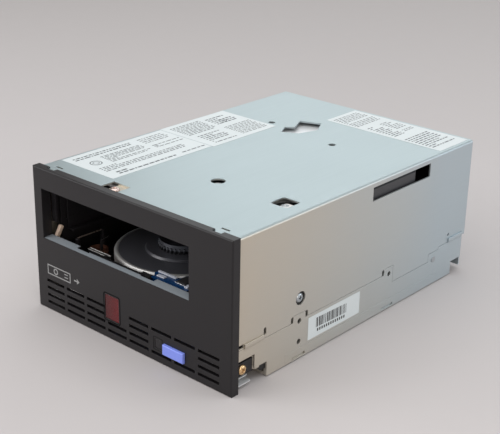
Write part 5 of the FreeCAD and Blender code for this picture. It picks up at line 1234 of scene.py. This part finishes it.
# %% Rods on their posts
rod_zinc = metal("rod_zinc", tint(150, 136, 128), 0.3, metallic=0.6)
cap_brown = metal("brown_cap", tint(92, 58, 44), 0.4, metallic=0.5)
DECK_TOP = high_of("deck").z
LATCH_WIRES = (
    ("latch_rod", [(-57.2, -88.6, 41.2), (-56.8, -80.0, 41.4), (-56.2, -71.6, 41.6)], 0.4, rod_zinc),
    ("spring_leg", [(-46.9, -80.5, 40.5), (-46.8, -79.4, 41.0), (-47.1, -74.8, 41.3)], 0.3, steel_rod),
    ("latch_wire", [(-60.4, -82.4, 45.6), (-59.9, -78.4, 45.2), (-61.0, -73.9, 45.8)], 0.7, rod_zinc),
)


def wire(name, points, radius, finish):
    """A round wire on a smooth path along points in millimetres."""
    curve = bpy.data.curves.new(name, "CURVE")
    curve.dimensions = "3D"
    curve.bevel_depth = radius * MM
    curve.bevel_resolution = 4
    curve.use_fill_caps = True
    spline = curve.splines.new("NURBS")
    spline.points.add(len(points) - 1)
    for target, point in zip(spline.points, points):
        target.co = (*(Vector(point) * MM), 1)
    spline.order_u = 3
    spline.use_endpoint_u = True
    made = bpy.data.objects.new(name, curve)
    bpy.context.scene.collection.objects.link(made)
    curve.materials.append(finish.material)
    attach(made, "chassis")
    return made


def magnet_cap():
    """A shallow dish over the latch magnet."""
    shape = bmesh.new()
    dish = [(0, 33.7), (5.4, 33.7), (5.6, 36.0), (5.3, 36.0), (5.0, 34.4), (0, 34.4)]
    turned(shape, dish, (-47.2, -82.4, 0))
    return piece("magnet_cap", shape, cap_brown)


def latch_posts():
    """The posts that carry the rods and the spring's leg, standing on the deck."""
    shape = bmesh.new()
    for x, y, profile in (
        (-56.2, -71.4, [(1.6, 38.0), (1.1, 38.4), (1.1, 41.9), (0.6, 42.2), (0, 42.2)]),
        (-57.2, -88.9, [(1.4, 40.6), (0.9, 41.2), (0, 41.2)]),
        (-46.9, -80.5, [(0.8, 40.4), (0, 40.6)]),
    ):
        turned(shape, [(profile[0][0], DECK_TOP), *profile], (x, y, 0), steps=24)
    return piece("latch_posts", shape, phosphated)


for name, points, radius, finish in LATCH_WIRES:
    wire(name, points, radius, finish)
magnet_cap()
print("posts:", len(latch_posts().data.polygons), "faces")

# %% [markdown]
# ## Films inside the case
#
# Thin black sheets stand inside both long walls of the case and behind the openings of the rear panel.
# They are painted shade: dark sheets that keep the bay dark, because without them the slots and screw
# holes of the far wall would let daylight into the bay. Each is cut from sheet, with its corners
# clipped.

# %% Dark sheets for shade
shade_black = moulded("shade_film", tint(24, 23, 24), 0.6, 1800)


def clipped(low, high, cut):
    """A rectangle in two axes with its corners clipped."""
    return [
        (low[0] + cut, low[1]), (high[0] - cut, low[1]), (high[0], low[1] + cut),
        (high[0], high[1] - cut), (high[0] - cut, high[1]), (low[0] + cut, high[1]),
        (low[0], high[1] - cut), (low[0], low[1] + cut),
    ]


def shade_sheets():
    """Dark sheets for shade inside each long wall and behind the rear panel's openings."""
    made = []
    # Painted shade: dark sheets keep the bay dark.
    inner = high_of("top_cover").x - 1.0
    for side, name in ((-1, "film_left"), (1, "film_right")):
        shape = bmesh.new()
        start, end = sorted((side * (inner - 0.05), side * (inner - 0.15)))
        prism(shape, clipped((-84.0, 5.0), (88.0, 62.0), 3.0), start, end, 0)
        made.append(piece(name, shape, shade_black))
    screen = bmesh.new()
    inside = high_of("rear_panel").y - 1.0
    prism(screen, clipped((-52.0, 42.0), (52.0, 65.0), 3.0), inside - 0.2, inside - 0.05, 1)
    made.append(piece("rear_shade_sheet", screen, shade_black))
    return made


print("films:", [made.name for made in shade_sheets()])

# %% [markdown]
# ## What shows through the lid
#
# Just under the lid lies the upper frame. A pale pad under the frame screw and a grey dome show in the
# square and the round opening; both are painted light, pale pieces for the lit frame seen through the
# openings. Each stands on a disc of black film, painted shade for the shadow in the opening. Two black
# pads under the small openings of the lid are painted shade as well, and make those openings dark.

# %% Pads between the frame and the lid
painted_light_pad = moulded("painted_light_pad", tint(224, 222, 218), 0.4, depth=0.00001)
painted_light_button = moulded("painted_light_button", tint(186, 187, 188), 0.4, depth=0.00001)
FRAME_TOP = high_of("upper_frame").z


def raised(profile):
    """A profile that starts from the top of the upper frame."""
    return [(radius, FRAME_TOP + height) for radius, height in profile]


def lid_pads():
    """The pale pad under the screw, with rounded corners, and the low grey dome as painted light;
    black pads and discs as painted shade.
    """
    # Painted light: a pale pad and a grey dome for the lit frame.
    pad = bmesh.new()
    prism(pad, rounded((60.8, -50.0), (3.8, 4.2), 1.6), FRAME_TOP, FRAME_TOP + 1.3, 2)
    button = bmesh.new()
    dome = [(3.0, 0), (3.0, 0.8), (2.6, 1.1), (0, 1.2)]
    turned(button, raised(dome), (13.2, -50.4, 0))
    shade_discs = bmesh.new()
    # Painted shade: black pads under the small openings of the lid.
    for x, y in ((-34.7, 49.4), (17.7, 41.5)):
        pillow = [(4.6, 0), (4.8, 0.9), (4.4, 1.7), (0, 1.9)]
        turned(shade_discs, raised(pillow), (x, y, 0), steps=32)
    # Painted shade: black discs under the pad and the dome.
    for x, y, radius in ((60.0, -48.4, 8.5), (12.4, -48.6, 6.5)):
        film = [(0, 0.02), (radius, 0.02), (radius, 0.1), (0, 0.1)]
        turned(shade_discs, raised(film), (x, y, 0), steps=32)
    return (
        piece("screw_pad", pad, painted_light_pad),
        piece("lid_button", button, painted_light_button),
        piece("lid_shade_discs", shade_discs, shade_black),
    )


print("under the lid:", [made.name for made in lid_pads()])

# %% [markdown]
# ## Contacts in the rear sockets
#
# Each socket at the rear is an empty shell in the CAD. We put its contacts
# in: four round pins for power, a blade with fine pads for the data plug
# and a double row of pins for the library port.

# %% Pins and blades
gold = metal("contact_gold", tint(226, 188, 120), 0.22)


def socket_contacts():
    """Contacts inside the three sockets, short of their mouths."""
    shape = bmesh.new()
    mouth = high_of("power_socket").y
    floor = mouth - 10.2
    power = middle_of("power_socket")
    for step in range(4):
        x = power.x + (step - 1.5) * 4.6
        turned(shape, [(0.9, 0), (0.9, 7.2), (0.5, 8.0), (0, 8.0)], (x, floor, power.z), "y", 20)
    port = middle_of("library_port")
    for row in (-1, 1):
        for step in range(8):
            x = port.x + (step - 3.5) * 2.0
            block(shape, (x - 0.3, floor, port.z + row * 1.1 - 0.3),
                  (x + 0.3, floor + 7.2, port.z + row * 1.1 + 0.3), 0.1)
    data = middle_of("data_socket")
    for step in range(15):
        x = data.x + (step - 7) * 2.2
        block(shape, (x - 0.5, floor, data.z + 0.75), (x + 0.5, floor + 7.0, data.z + 1.0), 0.05)
    pins = piece("socket_contacts", shape, gold)
    blade_shape = bmesh.new()
    block(blade_shape, (data.x - 17.5, floor, data.z - 0.7),
          (data.x + 17.5, floor + 7.6, data.z + 0.7), 0.2)
    blade = piece("data_blade", blade_shape, socket_black)
    return pins, blade


print("contacts:", [made.name for made in socket_contacts()])

# %% [markdown]
# ## Floor and background
#
# The drive stands on a sweep of studio paper that turns up behind it, so no edge shows. Its colour
# carries painted shade: pale where the drive stands, and darker and warmer towards the top, for light
# that falls off away from the lamps.

# %% The paper sweep
FLOOR_PALE = tint(197, 192, 192)
FAR_PAINTED_SHADE = tint(147, 141, 137)


def paper_sweep():
    """A floor that curves up into a wall, far behind the drive."""
    shape = bmesh.new()
    near, far, bend, wide, tall = -3.0, 1.6, 0.8, 4.0, 3.0
    profile = [(near, 0.0)]
    for step in range(17):
        angle = math.radians(90 * step / 16)
        profile.append((far + bend * math.sin(angle), bend - bend * math.cos(angle)))
    profile.append((far + bend, tall))
    rows = []
    for along, height in profile:
        rows.append([shape.verts.new((side * wide, along, height)) for side in (-1, 1)])
    for low, high in zip(rows, rows[1:]):
        shape.faces.new((low[0], low[1], high[1], high[0])).smooth = True
    mesh = bpy.data.meshes.new("paper_sweep")
    shape.to_mesh(mesh)
    shape.free()
    sweep = bpy.data.objects.new("paper_sweep", mesh)
    sweep.rotation_euler.z = AROUND
    bpy.context.scene.collection.objects.link(sweep)
    return sweep


paper = Finish("sweep_paper", FLOOR_PALE, 0.85)
tooth = paper.noise(60, detail=5)
# Painted shade: the paper darkens towards the far top.
painted_falloff = paper.between(paper.along("Y"), 0, 1, 0.05, 1.9)
painted_falloff = paper.math("ADD", painted_falloff, paper.between(tooth, -0.02, 0.02))
paper.set("Base Color", paper.mix(painted_falloff, FLOOR_PALE, FAR_PAINTED_SHADE))
sweep = paper_sweep()
sweep.data.materials.append(paper.material)
sweep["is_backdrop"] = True
print("sweep with", len(sweep.data.polygons), "faces")

# %% [markdown]
# ## Lamps
#
# A large soft lamp hangs above and a little in front. A long low one behind
# gives the lid and the top edges their sheen, because at this camera angle
# they mirror what stands behind them. The right wall mirrors the floor
# and what stands to the right: a small warm lamp near the front and a cool
# one further back give it its slow change of tone. A lamp in front, to the
# left, fills the black front and looks into the slot.

# %% Soft lamps and an even world
def lamp(name, at, aim, size, power, colour):
    """A large soft lamp that points at a spot."""
    light = bpy.data.lights.new(name, "AREA")
    light.shape = "RECTANGLE"
    light.size, light.size_y = size
    light.energy = power
    light.color = colour
    made = bpy.data.objects.new(name, light)
    made.location = at
    made.rotation_euler = (Vector(aim) - Vector(at)).to_track_quat("-Z", "Y").to_euler()
    bpy.context.scene.collection.objects.link(made)
    print(name, "gives", power, "W")


lamp("lamp_above", (0.0, -0.2, 1.5), (0, 0, 0.05), (2.4, 2.0), 14, (1.0, 0.985, 0.96))
lamp("lamp_behind", (-0.65, 1.5, 0.85), (0, 0, 0.08), (1.8, 0.7), 6.5, (0.93, 0.98, 1.0))
lamp("lamp_warm", (0.75, -0.5, 0.35), (0.07, -0.08, 0.04), (0.4, 0.4), 1.0, (1.0, 0.87, 0.72))
lamp("lamp_cool", (1.3, 1.0, 0.5), (0.07, 0.05, 0.04), (1.0, 0.6), 4.8, (0.88, 0.95, 1.0))
lamp("lamp_front", (-0.78, -0.94, 0.66), (0, -0.08, 0.04), (0.9, 0.5), 5.5, (1.0, 0.99, 0.98))
world = bpy.data.worlds.new("studio")
bpy.context.scene.world = world
world.use_nodes = True
backdrop = world.node_tree.nodes["Background"]
backdrop.inputs["Color"].default_value = (0.96, 0.98, 1.0, 1)
backdrop.inputs["Strength"].default_value = 0.6
bpy.context.scene.view_settings.view_transform = "Standard"

# %% [markdown]
# ## The dressed size
#
# The added pieces mustn't make the drive larger, because it has to fit its bay.
